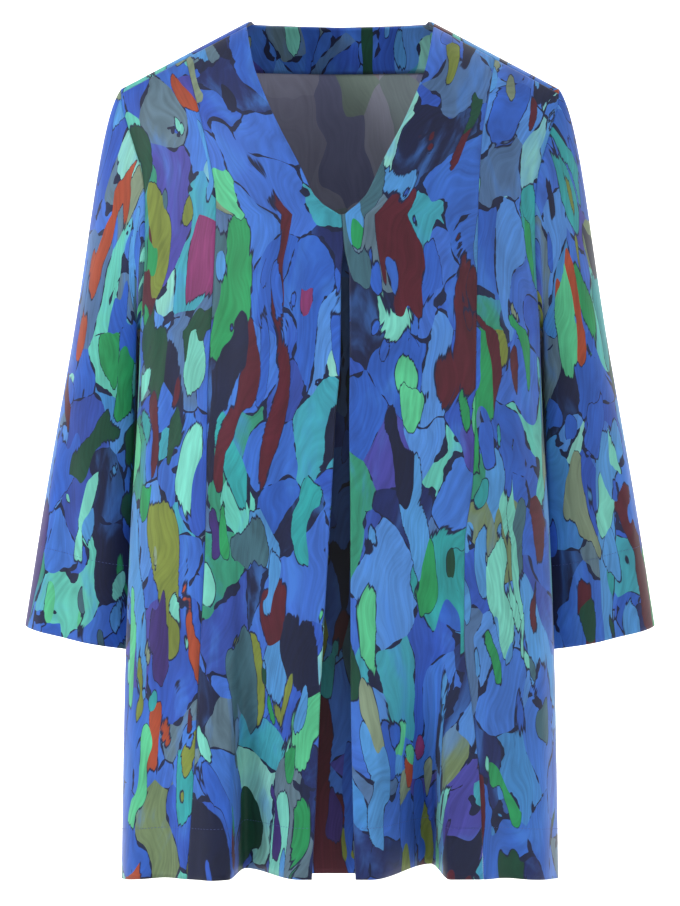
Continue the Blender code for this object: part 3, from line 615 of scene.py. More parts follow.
def printed_crepe(name, shades, painted=True, depth=0.86, contrast=0.27, painted_shade=None):
    """Viscose crepe, woven with a twisted thread: a fine pebbled face with a soft sheen, and a
    printed pattern that shows washed out on the wrong side. Depth is how light the dye is,
    contrast how far the brushing varies it, and painted shade darkens it up the piece."""
    material = bpy.data.materials.new(name)
    material.use_nodes = True
    tree = material.node_tree
    surface = tree.nodes["Principled BSDF"]
    place = add_node(tree, "ShaderNodeTexCoord").outputs["UV"]
    patch_place = brushed(tree, place, PATCH_LAYER)
    stroke_place = brushed(tree, place, STROKE_LAYER)
    patches = add_node(
        tree, "ShaderNodeTexVoronoi", {"Scale": PATCH_LAYER.count}, {"Vector": patch_place}
    ).outputs["Color"]
    patch_value = add_node(tree, "ShaderNodeSeparateColor", links={"Color": patches})
    colour = add_node(
        tree, "ShaderNodeValToRGB", links={"Fac": patch_value.outputs["Red"]}, steps=shades
    ).outputs["Color"]
    streaks = add_node(
        tree, "ShaderNodeMapping", {"Scale": BRISTLE_COUNTS}, {"Vector": patch_place}
    ).outputs["Vector"]
    brush = add_node(
        tree, "ShaderNodeTexNoise", {"Scale": 1.0, "Detail": 3.0}, {"Vector": streaks}
    ).outputs["Fac"]
    wash = add_node(
        tree, "ShaderNodeTexNoise", {"Scale": WASH_COUNT, "Detail": 4.0},
        {"Vector": stroke_place},
    ).outputs["Fac"]
    if painted:
        colour = edged_patches(tree, colour, patch_place, place, wash)
        colour = strokes_over(tree, colour, STROKE_LAYER, stroke_place, brush)
        touch_place = brushed(tree, place, TOUCH_LAYER)
        colour = strokes_over(tree, colour, TOUCH_LAYER, touch_place, brush)

    tone = add_node(tree, "ShaderNodeMath", {"operation": "ADD"}, {0: brush, 1: wash})
    shade = add_node(
        tree, "ShaderNodeMapRange",
        {
            "From Min": 0.72, "From Max": 1.28,
            "To Min": depth * (1 - contrast), "To Max": depth * (1 + contrast),
        },
        {"Value": tone.outputs["Value"]},
    ).outputs["Result"]
    value = add_node(
        tree, "ShaderNodeHueSaturation", links={"Value": shade, "Color": colour}
    ).outputs["Color"]
    # Painted shade: the colour darkens up the piece between two heights in the print, standing in
    # for the shadow deep in a hollow.
    if painted_shade:
        up = add_node(tree, "ShaderNodeSeparateXYZ", links={"Vector": place}).outputs["Y"]
        painted_darkening = add_node(
            tree, "ShaderNodeMapRange",
            {
                "interpolation_type": "SMOOTHSTEP", "From Min": painted_shade.low, "From Max": painted_shade.high,
                "To Min": 1.0, "To Max": painted_shade.lightness,
            },
            {"Value": up},
        ).outputs["Result"]
        value = add_node(
            tree, "ShaderNodeHueSaturation", links={"Value": painted_darkening, "Color": value}
        ).outputs["Color"]
    tree.links.new(value, surface.inputs["Base Color"])

    pebble = add_node(
        tree, "ShaderNodeTexNoise", {"Scale": PEBBLE_COUNT, "Detail": 2.0}, {"Vector": place}
    ).outputs["Fac"]
    bump = add_node(
        tree, "ShaderNodeBump", {"Strength": 0.22, "Distance": PEBBLE_HEIGHT}, {"Height": pebble}
    ).outputs["Normal"]
    tree.links.new(bump, surface.inputs["Normal"])
    surface.inputs["Roughness"].default_value = 0.58
    surface.inputs["Sheen Weight"].default_value = 0.14
    surface.inputs["Sheen Roughness"].default_value = 0.45
    surface.inputs["Specular IOR Level"].default_value = 0.30
    return material


right_cloth = printed_crepe("printed_viscose_crepe", PATCHES)
wrong_cloth = printed_crepe(
    "viscose_crepe_wrong_side", WRONG_SIDE_SHADES, painted=False, depth=0.95, contrast=0.10
)


def lay_flat(points, place):
    """Where a grid of points lies on the uncut cloth: distances along its rows and up its
    columns, so that the print keeps its size and breaks at the seams."""
    filled = np.nan_to_num(points, nan=0.0)
    lost = np.isnan(points[..., 0])
    along = np.linalg.norm(np.diff(filled, axis=1), axis=-1)
    up = np.linalg.norm(np.diff(filled, axis=0), axis=-1)
    along[lost[:, 1:] | lost[:, :-1]] = 0.0
    up[lost[1:] | lost[:-1]] = 0.0
    across = np.concatenate([np.zeros((len(points), 1)), np.cumsum(along, axis=1)], axis=1)
    middle = points.shape[1] // 2
    across = across - across[:, middle : middle + 1]
    height = np.concatenate([np.zeros((1, points.shape[1])), np.cumsum(up, axis=0)], axis=0)
    return across + place[0], height + place[1]


MERGE_DISTANCE = 1e-5


def shell(name, points, place, outward, node, tube=False, finish=right_cloth):
    """A piece of cloth: a grid moved to its points, given its thickness and its two sides.
    Place is where it was cut from the print, and outward gives the way out at a point."""
    rows, columns = points.shape[:2]
    across, height = lay_flat(points, place)
    cloth = bmesh.new()
    bmesh.ops.create_grid(cloth, x_segments=columns - 1, y_segments=rows - 1, size=1.0)
    print_map = cloth.loops.layers.uv.new("cloth")
    missing = []
    spot = {}
    for vertex in cloth.verts:
        column = round((vertex.co.x + 1) / 2 * (columns - 1))
        row = round((vertex.co.y + 1) / 2 * (rows - 1))
        spot[vertex] = (row, column)
        if np.isnan(points[row, column, 0]):
            missing.append(vertex)
        else:
            vertex.co = points[row, column]
    for face in cloth.faces:
        face.smooth = True
        for loop in face.loops:
            loop[print_map].uv = (across[spot[loop.vert]], height[spot[loop.vert]])
    bmesh.ops.delete(cloth, geom=missing, context="VERTS")
    if tube:
        bmesh.ops.remove_doubles(cloth, verts=cloth.verts, dist=MERGE_DISTANCE)
    cloth.normal_update()
    facing_out = sum(outward(face.calc_center_median()).dot(face.normal) for face in cloth.faces)
    if facing_out < 0:
        bmesh.ops.reverse_faces(cloth, faces=cloth.faces)
    mesh = bpy.data.meshes.new(name)
    area = sum(face.calc_area() for face in cloth.faces)
    cloth.to_mesh(mesh)
    cloth.free()
    mesh.materials.append(finish)
    mesh.materials.append(wrong_cloth)
    piece = bpy.data.objects.new(name, mesh)
    bpy.context.scene.collection.objects.link(piece)
    wall = piece.modifiers.new("thickness", "SOLIDIFY")
    wall.thickness = CLOTH
    wall.offset = -1.0
    wall.material_offset = 1
    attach(piece, "root")
    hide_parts(node)


def to_the_front(centre):
    """The way out of a piece whose right side faces the front all over."""
    return Vector((0.0, -1.0, 0.0))


def inner_edge(height, side):
    """Distance of a centre-front panel's inner edge from the centre plane, plus to the right.
    It follows the pleat up to the neck point and the neck edge above it."""
    sign = SIGNS[side]
    folded = pleat_at[side](height) + sign * PLEAT_FOLD_RADIUS
    at_point = pleat_at[side](NECK_DROP) + sign * PLEAT_FOLD_RADIUS
    low_end = NECK_EDGE[0].across
    neck = neck_edge_at(height)
    eased = sign * neck + (at_point - sign * low_end) * np.exp((low_end - neck) / NECK_POINT_BLEND)
    return np.where(height <= NECK_DROP, folded, eased)


def shoulder_seam_root(across):
    return np.sqrt(SEAM_BELOW_RIDGE) + 0 * across


def front_panel(side):
    """A centre-front panel with the turned-back return of the pleat, from its inner end out."""

    def turn_across(height, share):
        first = turn_of(inner_edge(height, side), height)
        last = turn_of(SIGNS[side] * princess_at[side](height), height)
        return between(first, last, share)

    shares = np.concatenate([np.linspace(*band) for band in FRONT_COLUMNS])
    faces = panel(shares, turn_across, "front", shoulder_seam_root)
    if side == "left":
        faces = [face[:, ::-1] for face in faces]
    edge = -1 if side == "left" else 0
    beside = -2 if side == "left" else 1
    turned = [pleat_return(row, faces, edge, beside) for row in range(len(ROWS))]
    returns = [np.array([pair[face] for pair in turned]) for face in (0, 1)]
    if side == "left":
        faces = [np.concatenate(pair, axis=1) for pair in zip(faces, returns)]
        ease_seam(faces, 1, "first")
    else:
        faces = [np.concatenate((r[:, ::-1], f), axis=1) for f, r in zip(faces, returns)]
        ease_seam(faces, 1, "last")
    return ease_seam(faces, 0, "last")


def pleat_frame(row, faces, edge, beside):
    """The pleat's corner on a row, with the ways along the panel and into the hollow."""
    corner = faces[0][row, edge]
    along = faces[0][row, beside] - corner
    along = along * (1, 1, 0)
    along = along / np.linalg.norm(along)
    inward = np.array([along[1], -along[0], 0.0])
    if inward[1] < 0:
        inward = -inward
    return corner, along, inward


def pleat_opening(height):
    """Angle that the return makes with the panel in front of it."""
    reach = np.clip(set_back_at(height) - 2 * PLEAT_FOLD_RADIUS, 0, PLEAT_RETURN)
    return math.asin(reach / PLEAT_RETURN)


def pleat_return(row, faces, edge, beside):
    """Points of a row's rounded fold and of the cloth turned back behind the panel. The
    return starts a row below the neck point, and the fold reaches the neck point."""
    corner, along, inward = pleat_frame(row, faces, edge, beside)
    opening = pleat_opening(corner[2])
    right_side = []
    wrong_side = []
    for step in range(1, FOLD_STEPS + 1):
        angle = (math.pi - opening) * step / FOLD_STEPS
        out = -math.sin(angle) * along - math.cos(angle) * inward
        centre = corner + inward * PLEAT_FOLD_RADIUS
        right_side.append(centre + out * PLEAT_FOLD_RADIUS)
        wrong_side.append(centre + out * (PLEAT_FOLD_RADIUS - WALL))
    back = math.cos(opening) * along + math.sin(opening) * inward
    for step in range(1, RETURN_STEPS + 1):
        onward = back * PLEAT_RETURN * step / RETURN_STEPS
        right_side.append(right_side[FOLD_STEPS - 1] + onward)
        wrong_side.append(wrong_side[FOLD_STEPS - 1] + onward)
    points = [np.array(right_side), np.array(wrong_side)]
    for face in points:
        if row > NECK_ROW:
            face[:] = np.nan
        if row == NECK_ROW:
            face[FOLD_STEPS:] = np.nan
    return points


FRONT_PRINT = {"left": (0.10, 0.35), "right": (0.74, 1.10)}
fronts = {side: front_panel(side) for side in ("left", "right")}
for side in ("left", "right"):
    points = rolled_seam(fronts[side], 1, "first" if side == "left" else "last")
    shell(
        f"front_{side}_cloth", points, FRONT_PRINT[side], to_the_front,
        f"front_{side}",
    )

# The pleat's underlay: a strip of the same crepe between the two folded edges, set back in
# the hollow of the pleat and sewn to the ends of the returns. Its print carries painted shade
# that darkens towards the neck point, for the shadow that deepens in the hollow there.
UNDERLAY_BULGE = 0.15
UNDERLAY_COLUMNS = 14
UNDERLAY_PRINT = (1.62, 0.21)

# Heights in the print between which the painted shade deepens, and how light it is at the higher
Fade = namedtuple("Fade", "low high lightness")
UNDERLAY_PAINTED_SHADE = Fade(UNDERLAY_PRINT[1] + 0.02, UNDERLAY_PRINT[1] + 0.30, 0.26)


def pleat_underlay(left, right):
    """The strip between the ends of the two returns, with its right side to the front."""
    shares = np.linspace(0, 1, UNDERLAY_COLUMNS)
    strips = []
    for row in range(NECK_ROW):
        start = left[row, -1]
        span = right[row, 0] - start
        across = span * (1, 1, 0)
        across = across / np.linalg.norm(across)
        inward = np.array([-across[1], across[0], 0.0])
        bulge = np.sin(np.pi * shares)[:, None] * inward * UNDERLAY_BULGE * set_back_at(start[2])
        strips.append(start + span * shares[:, None] + inward * SEAM_GAP + bulge)
    return np.array(strips)


# The underlay's crepe, with painted shade darkening its print up the strip for the pleat's shadow.
painted_shade_cloth = printed_crepe("printed_viscose_crepe_painted_shade", PATCHES, painted_shade=UNDERLAY_PAINTED_SHADE)
shell(
    "pleat_underlay_cloth", pleat_underlay(fronts["left"][0], fronts["right"][0]),
    UNDERLAY_PRINT, to_the_front, "pleat_underlay", finish=painted_shade_cloth,
)

# The side fronts: shaped panels of the same crepe from the princess seams to the armholes and
# side seams, sewn to the centre fronts with a plain pressed seam.
SIDE_COLUMNS = (ColumnBand(0, 0.02, 4), ColumnBand(0.05, 0.95, 26), ColumnBand(0.98, 1, 4))
SIDE_PRINT = {"left": (2.20, 0.62), "right": (2.71, 0.05)}

# Distances from the centre plane to the armhole seam
ArmholeSeam = namedtuple("ArmholeSeam", "height front back")
ARMHOLE_SEAM = (
    ArmholeSeam(-0.2560, 0.1880, 0.1880),
    ArmholeSeam(-0.2185, 0.1838, 0.1868),
    ArmholeSeam(-0.1820, 0.1818, 0.1872),
    ArmholeSeam(-0.1400, 0.1816, 0.1895),
    ArmholeSeam(-0.1100, 0.1850, 0.1930),
    ArmholeSeam(-0.0865, 0.1920, 0.1980),
    ArmholeSeam(-0.0640, 0.1995, 0.2025),
    ArmholeSeam(-0.0400, 0.2060, 0.2060),
    ArmholeSeam(-0.0310, 0.2065, 0.2065),
)
armhole_at = {side: table_curve(ARMHOLE_SEAM, side) for side in ("front", "back")}


def side_front_panel(side):
    """A side front, and its outer edge as it was before the seam's gap was left."""
    sign = SIGNS[side]

    def turn_across(height, share):
        first = turn_of(sign * princess_at[side](height), height)
        at_armhole = turn_of(sign * armhole_at["front"](height), height)
        last = np.where(height > UNDERARM, at_armhole, sign * math.pi / 2)
        return between(first, last, share)

    shares = np.concatenate([np.linspace(*band) for band in SIDE_COLUMNS])
    faces = panel(shares, turn_across, "front", shoulder_seam_root)
    if side == "left":
        faces = [face[:, ::-1] for face in faces]
    seam_points = [face[:, 0 if side == "left" else -1].copy() for face in faces]
    for end in ("first", "last"):
        ease_seam(faces, 1, end)
    return ease_seam(faces, 0, "last"), seam_points


def from_axis(centre):
    """Away from the upright line through the middle of the body."""
    return Vector((centre.x, centre.y - float(middle_at(centre.z)), 0.0))


side_fronts = {}
front_seams = {}
for side in ("left", "right"):
    side_fronts[side], front_seams[side] = side_front_panel(side)
    right_side, wrong_side = side_fronts[side]
    points = rolled_seam((right_side, wrong_side), 1, "first")
    points = rolled_seam((points, wrong_side), 1, "last")
    shell(
        f"side_front_{side}_cloth", points, SIDE_PRINT[side], from_axis,
        f"side_front_{side}",
    )

# The back: one wide piece of the crepe that laps forward over the shoulders to seams just in
# front of them, hollowed at the neck, and hanging in soft uneven folds below the shoulder
# blades.
BACK_NECK_Z = 0.0335
SHOULDER_TIP_X = 0.2065
SHOULDER_COLUMNS = 44
HALF_NECK_COLUMNS = 30
BACK_PRINT = (3.60, 0.40)

# The corner beside the neck, where the top edge turns from the neck to the shoulder seam, and
# the shares of it at which it has columns
NECK_CORNER = 0.007
NECK_CORNER_COLUMNS = (0.4, 0.8)


def back_top_root(across):
    """The back's top edge: over the ridge at the shoulders, and the back neck between them."""
    neck_z = BACK_NECK_Z - (BACK_NECK_Z - SHOULDER_NECK_Z) * (across / SHOULDER_NECK_X) ** 2
    neck = np.sqrt(np.clip(ridge_height(across) - neck_z, 0, 1))
    turned = smooth_step((across - SHOULDER_NECK_X + NECK_CORNER) / NECK_CORNER)
    return between(neck, -math.sqrt(SEAM_BELOW_RIDGE), turned)


def back_turn_across(height, share):
    at_armhole = turn_of(armhole_at["back"](height), height)
    edge = np.where(height > UNDERARM, at_armhole, math.pi / 2)
    return between(edge, -edge, share)


def neck_share():
    """Share of the way across the back at which a column ends on the shoulder's neck point."""
    edge = turn_of(SHOULDER_TIP_X, SHOULDER_NECK_Z)
    return 0.5 - 0.5 * turn_of(SHOULDER_NECK_X, SHOULDER_NECK_Z) / edge


def back_shares():
    shoulder = np.linspace(0, neck_share(), SHOULDER_COLUMNS)
    corner = neck_share() * (1 + NECK_CORNER / SHOULDER_TIP_X * np.array(NECK_CORNER_COLUMNS))
    neck = np.linspace(corner[-1], 0.5, HALF_NECK_COLUMNS)[1:]
    half = np.concatenate([shoulder, corner, neck])
    return np.concatenate([half, 1 - half[-2::-1]])


def back_panel():
    """The back, and its two side edges as they were before the seams' gaps were left."""
    faces = panel(back_shares(), back_turn_across, "back", back_top_root)
    seam_points = {
        "right": [face[:, 0].copy() for face in faces],
        "left": [face[:, -1].copy() for face in faces],
    }
    for end in ("first", "last"):
        ease_seam(faces, 1, end)
    return ease_seam(faces, 0, "last"), seam_points


back, back_seams = back_panel()
shell("back_cloth", back[0], BACK_PRINT, from_axis, "back")

# The back neck facing: a narrow shaped piece of the crepe with its right side showing inside
# the neck, turned in at the neck edge and caught down at the shoulder seams.
FACING_DEPTH = 0.043
FACING_REACH = 0.11
FACING_GAP = 0.0006
FACING_BELOW_RIDGE = 0.002
FACING_ROWS = 12
FACING_PRINT = (4.40, 0.90)


def back_neck_facing(right_side, wrong_side):
    """The facing lies on the wrong side of the back, from the neck edge down to a level edge.
    Beside the neck it stops short of the shoulder ridge. Its points are the back's own, read
    along each column and moved in."""
    top = right_side[-1]
    strips = []
    for column in np.nonzero(np.abs(top[:, 0]) <= FACING_REACH)[0]:
        heights = right_side[NECK_ROW:, column, 2]
        places = np.arange(len(heights))
        across = abs(top[column, 0])
        root = math.sqrt(ridge_height(across) - heights[0])
        end_root = back_top_root(across)
        rising = heights.argmax() + 1
        level = np.interp(BACK_NECK_Z - FACING_DEPTH, heights[:rising], places[:rising])
        last = (root - math.sqrt(FACING_BELOW_RIDGE)) / (root - end_root) * UPPER_ROWS
        read_at = np.linspace(level, min(last, UPPER_ROWS), FACING_ROWS + 1)
        outer, inner = (
            np.stack([np.interp(read_at, places, face[NECK_ROW:, column, i]) for i in range(3)], 1)
            for face in (right_side, wrong_side)
        )
        strips.append(inner + (inner - outer) / WALL * FACING_GAP)
    return np.array(strips).swapaxes(0, 1)


shell(
    "back_neck_facing_cloth", back_neck_facing(*back), FACING_PRINT, to_the_front,
    "back_neck_facing",
)

# The sleeves: wide three-quarter tubes of the crepe with a low soft head, set into the armholes
# and hanging close to the body, with a deep hem at the open cuff.
SLEEVE_HEAD_ROWS = 30
SLEEVE_ROWS = 64
SLEEVE_PRINT = {"left": (5.10, 0.10), "right": (5.90, 0.75)}

# Rings square to the sleeve, from just under the arm to the cuff, for the sleeve on +X
SleeveRing = namedtuple("SleeveRing", "along centre_x centre_y centre_z half_width half_depth")
SLEEVE_RINGS = (
    SleeveRing(0.00, 0.2120, 0.028, -0.288, 0.0468, 0.062),
    SleeveRing(0.45, 0.2225, 0.042, -0.410, 0.0594, 0.060),
    SleeveRing(1.00, 0.2355, 0.064, -0.5572, 0.0725, 0.056),
)
SLEEVE_DROP = SLEEVE_RINGS[0].centre_z - SLEEVE_RINGS[-1].centre_z

# How far the rings are tilted from level, and how far the sleeve hangs clear of the body
SLEEVE_TILT = math.radians(10.0)
SLEEVE_CLEARANCE = 0.0034

# How far the head's curve leaves the armhole seam and arrives at the first ring, as shares of
# the way between them, and which way it leaves
SLEEVE_HEAD_LIFT = 0.13
SLEEVE_HEAD_DROP = 0.38
LEAVES_SHOULDER = (0.62, 0.0, -0.78)
LEAVES_UNDERARM = (0.05, 0.1, -1.0)

# How narrowly the underarm's way out of the seam holds round the armhole, where on the first
# stretch the sleeve's own way is read, how readily the seam is turned back where the sleeve
# leans out of the body's cloth and at the underarm, how the head's rows crowd towards the seam,
# and over how many rows the sleeve comes clear of the body
UNDERARM_POWER = 4
ARRIVING_SHARE = 0.05
TURN_BACK_BY_LEAN = 4
TURN_BACK_AT_UNDERARM = 2
HEAD_ROW_POWER = 1.6
CLEARANCE_ROWS = 8

# How many columns of the body the seam allowance behind the armhole's edge takes up
ALLOWANCE_COLUMNS = 4

# Folds of the sleeve. A turn is in degrees, 0 at the sleeve's outer side and 90 at its front,
# start and end are places along it, and a fold fades out past its end.
SleeveFold = namedtuple("SleeveFold", "turn_at_top turn_at_cuff start end depth width")
SLEEVE_FOLDS = (
    SleeveFold(40.0, 62.0, 0.10, 1.00, -0.005, 26.0),
    SleeveFold(100.0, 88.0, 0.30, 1.00, 0.004, 30.0),
    SleeveFold(-60.0, -80.0, 0.15, 1.00, -0.006, 30.0),
    SleeveFold(-10.0, -25.0, 0.05, 0.75, -0.003, 24.0),
)
SLEEVE_FOLD_FADE = 1.35

ring_at = {
    column: table_curve(SLEEVE_RINGS, column)
    for column in ("centre_x", "centre_y", "centre_z", "half_width", "half_depth")
}


def sleeve_ring_point(along, turn):
    """A point round the lower sleeve on +X, at a turn from its outer side towards the front."""
    folded = 0 * turn
    degrees = np.degrees(turn)
    for fold in SLEEVE_FOLDS:
        span = (along - fold.start) / (fold.end - fold.start)
        grown = smooth_step(span * 2) * smooth_step((SLEEVE_FOLD_FADE - span) * 2)
        place = between(fold.turn_at_top, fold.turn_at_cuff, np.clip(along, 0, 1))
        away = np.abs((degrees - place + 180) % 360 - 180)
        shape = np.cos(np.pi / 2 * np.clip(away / fold.width, 0, 1)) ** 2
        folded = folded + fold.depth * grown * shape
    outward = (ring_at["half_width"](along) + folded) * np.cos(turn)
    forward = (ring_at["half_depth"](along) + folded) * np.sin(turn)
    x = ring_at["centre_x"](along) + outward * math.cos(SLEEVE_TILT)
    y = ring_at["centre_y"](along) - forward
    z = ring_at["centre_z"](along) + outward * math.sin(SLEEVE_TILT)
    return np.stack([x, y, z], axis=-1)


def body_reach(y, height):
    """How far out the body's cloth reaches at a depth and height, from the centre plane."""
    front = y < middle_at(height)
    depth = np.where(front, depth_at["front"](height), depth_at["back"](height))
    square = np.where(front, square_at["front"](height), square_at["back"](height))
    share = np.clip(np.abs(y - middle_at(height)) / depth, 0, 1)
    return half_width_at(height) * (1 - share**square) ** (1 / square)


def sleeve(side, front_seam, back_seam):
    """A tube of rings from the armhole seam to the cuff. Its columns start at the underarm
    and go up the front of the armhole, over the shoulder and down the back."""
    sign = SIGNS[side]
    loops = []
    for front_face, back_face in zip(front_seam, back_seam):
        up = front_face[UNDERARM_ROW:-1]
        down = back_face[: UNDERARM_ROW : -1]
        loops.append(np.concatenate([up, down]) * (sign, 1, 1))
    armhole, armhole_wrong = loops
    body_normal = (armhole - armhole_wrong) / WALL
    around = np.linalg.norm(np.diff(armhole, axis=0, append=armhole[:1]), axis=1)
    share = np.concatenate([[0], np.cumsum(around)[:-1]]) / around.sum()
    over = share[len(front_seam[0]) - UNDERARM_ROW]
    turn = np.where(
        share < over, math.pi * (1 - share / over), -math.pi * (share - over) / (1 - over)
    )
    first_ring = sleeve_ring_point(np.zeros(len(turn)), turn)
    span = np.linalg.norm(first_ring - armhole, axis=1)[:, None]
    underarm = ((1 - np.cos(turn)) / 2)[:, None] ** UNDERARM_POWER
    leave = between(np.array(LEAVES_SHOULDER), np.array(LEAVES_UNDERARM), underarm)
    lean = (leave * body_normal).sum(axis=1)[:, None]
    turned_back = TURN_BACK_BY_LEAN * lean + TURN_BACK_AT_UNDERARM * underarm
    turned_back = np.clip(turned_back, 0, 1)
    armhole = armhole + body_normal * SEAM_GAP * turned_back
    arrive = sleeve_ring_point(np.full(len(turn), ARRIVING_SHARE), turn) - first_ring
    arrive = arrive / np.linalg.norm(arrive, axis=1)[:, None]
    rings = []
    for step in range(SLEEVE_HEAD_ROWS):
        t = (step / SLEEVE_HEAD_ROWS) ** HEAD_ROW_POWER
        rings.append(
            (1 - t) ** 3 * armhole
            + 3 * t * (1 - t) ** 2 * (armhole + leave * SLEEVE_HEAD_LIFT * span)
            + 3 * t**2 * (1 - t) * (first_ring - arrive * SLEEVE_HEAD_DROP * span)
            + t**3 * first_ring
        )
    for step in range(SLEEVE_ROWS + 1):
        rings.append(sleeve_ring_point(np.full(len(turn), step / SLEEVE_ROWS), turn))
    rings = np.array(rings)
    grown = smooth_step(np.arange(1, len(rings)) / CLEARANCE_ROWS)[:, None]
    reach = body_reach(rings[1:, :, 1], rings[1:, :, 2]) + SLEEVE_CLEARANCE * grown
    near = rings[1:, :, 2] < NECK_DROP
    rings[1:, :, 0] = np.where(near, np.maximum(rings[1:, :, 0], reach), rings[1:, :, 0])
    along = np.roll(rings, -1, axis=1) - np.roll(rings, 1, axis=1)
    down = np.gradient(rings, axis=0)
    normal = np.cross(down, along)
    normal = normal / np.linalg.norm(normal, axis=-1, keepdims=True)
    wrong = rings - normal * WALL
    wrong[0] = between(armhole_wrong, wrong[0], turned_back)
    faces = [rings * (sign, 1, 1), wrong * (sign, 1, 1)]
    return ease_seam(faces, 0, "first")


def armhole_ring(side, inset):
    """Points on the wrong side of the body round the armhole, some columns in from its edge,
    where the sleeve's seam allowance lies."""
    front = side_fronts[side][1][:, inset if side == "left" else -1 - inset]
    behind = back[1][:, -1 - inset if side == "left" else inset]
    return np.concatenate([front[UNDERARM_ROW:-1], behind[:UNDERARM_ROW:-1]])


def from_sleeve(side):
    """A function that gives the way out from the middle line of a sleeve."""

    def outward(centre):
        along = (ring_at["centre_z"](0.0) - centre.z) / SLEEVE_DROP
        middle_x = SIGNS[side] * float(ring_at["centre_x"](along))
        middle_y = float(ring_at["centre_y"](along))
        return Vector((centre.x - middle_x, centre.y - middle_y, 0.0))

    return outward


sleeves = {}
for side in ("left", "right"):
    sleeves[side] = sleeve(side, front_seams[side], back_seams[side])
    tucked = [armhole_ring(side, inset) for inset in (ALLOWANCE_COLUMNS, 0)]
    tube = np.concatenate([tucked, sleeves[side][0][1:]])
    tube = np.concatenate([tube, tube[:, :1]], axis=1)[::-1]
    shell(
        f"sleeve_{side}_cloth", tube, SLEEVE_PRINT[side], from_sleeve(side),
        f"sleeve_{side}", tube=True,
    )

# Topstitching: polyester thread in a running line round the hem and the cuffs, where the
# turned-up cloth is caught down. Each stitch is a short bead pressed into the cloth, with its
# middle raised by a share of its thickness. Twist count is the thread's turns to a metre.
STITCH_LENGTH = 0.0026
STITCH_PITCH = 0.0034
STITCH_THICK = 0.00045
STITCH_RAISED = 0.3
HEM_TURNED_UP = 0.047
CUFF_TURNED_UP = 0.083
THREAD = "34478F"
TWIST_COUNT = 900.0


def polyester_thread():
    """Spun polyester sewing thread, dyed to match: smooth, with a slight gloss."""
    material = bpy.data.materials.new("polyester_thread")
    material.use_nodes = True
    tree = material.node_tree
    surface = tree.nodes["Principled BSDF"]
    place = add_node(tree, "ShaderNodeTexCoord").outputs["Object"]
    twist = add_node(
        tree, "ShaderNodeTexNoise", {"Scale": TWIST_COUNT, "Detail": 1.0}, {"Vector": place}
    ).outputs["Fac"]
    value = add_node(
        tree, "ShaderNodeMapRange",
        {"From Min": 0.3, "From Max": 0.7, "To Min": 0.8, "To Max": 1.15}, {"Value": twist},
    ).outputs["Result"]
    colour = add_node(
        tree, "ShaderNodeHueSaturation", {"Color": hex_colour(THREAD)}, {"Value": value}
    ).outputs["Color"]
    tree.links.new(colour, surface.inputs["Base Color"])
    surface.inputs["Roughness"].default_value = 0.42
    return material


def stitch_line(name, line, normals):
    """Beads along a line of points on the cloth, joined in one mesh."""
    steps = np.linalg.norm(np.diff(line, axis=0), axis=1)
    reached = np.concatenate([[0], np.cumsum(steps)])
    stitches = bmesh.new()
    for start in np.arange(STITCH_PITCH / 2, reached[-1] - STITCH_PITCH, STITCH_PITCH):
        ends = [
            np.array([np.interp(at, reached, line[:, i]) for i in range(3)])
            for at in (start, start + STITCH_LENGTH)
        ]
        out = Vector([np.interp(start, reached, normals[:, i]) for i in range(3)]).normalized()
        along = Vector(ends[1] - ends[0]).normalized()
        side = out.cross(along).normalized()
        bead = bmesh.ops.create_icosphere(stitches, subdivisions=1, radius=1.0)["verts"]
        centre = Vector((ends[0] + ends[1]) / 2) + out * STITCH_THICK * STITCH_RAISED
        for vertex in bead:
            local = vertex.co.copy()
            vertex.co = (
                centre
                + along * local.x * STITCH_LENGTH / 2
                + side * local.y * STITCH_THICK / 2
                + out * local.z * STITCH_THICK / 2
            )
    for face in stitches.faces:
        face.smooth = True
    bmesh.ops.recalc_face_normals(stitches, faces=stitches.faces)
    mesh = bpy.data.meshes.new(name)
    stitches.to_mesh(mesh)
    stitches.free()
    mesh.materials.append(thread)
    piece = bpy.data.objects.new(name, mesh)
    bpy.context.scene.collection.objects.link(piece)
    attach(piece, "root")


def level_line(faces, rise):
    """The line that lies a rise above a panel's lower edge, and the cloth's way out there."""
    right_side, wrong_side = faces
    steps = np.linalg.norm(np.diff(right_side, axis=0), axis=-1)
    reached = np.concatenate([np.zeros((1, steps.shape[1])), np.cumsum(steps, axis=0)])
    line = [
        [np.interp(rise, reached[:, column], right_side[:, column, i]) for i in range(3)]
        for column in range(right_side.shape[1])
    ]
    out = right_side[1] - wrong_side[1]
    return np.array(line), out / np.linalg.norm(out, axis=1, keepdims=True)


thread = polyester_thread()
hems = {
    "front_left": [face[:, : -FOLD_STEPS - RETURN_STEPS] for face in fronts["left"]],
    "front_right": [face[:, FOLD_STEPS + RETURN_STEPS :] for face in fronts["right"]],
    "side_front_left": side_fronts["left"],
    "side_front_right": side_fronts["right"],
    "back": back,
}
for name, faces in hems.items():
    stitch_line(f"{name}_hem_stitches", *level_line(faces, HEM_TURNED_UP))
for side in ("left", "right"):
    cuff = [np.concatenate([face, face[:, :1]], axis=1)[::-1] for face in sleeves[side]]
    stitch_line(f"sleeve_{side}_cuff_stitches", *level_line(cuff, CUFF_TURNED_UP))

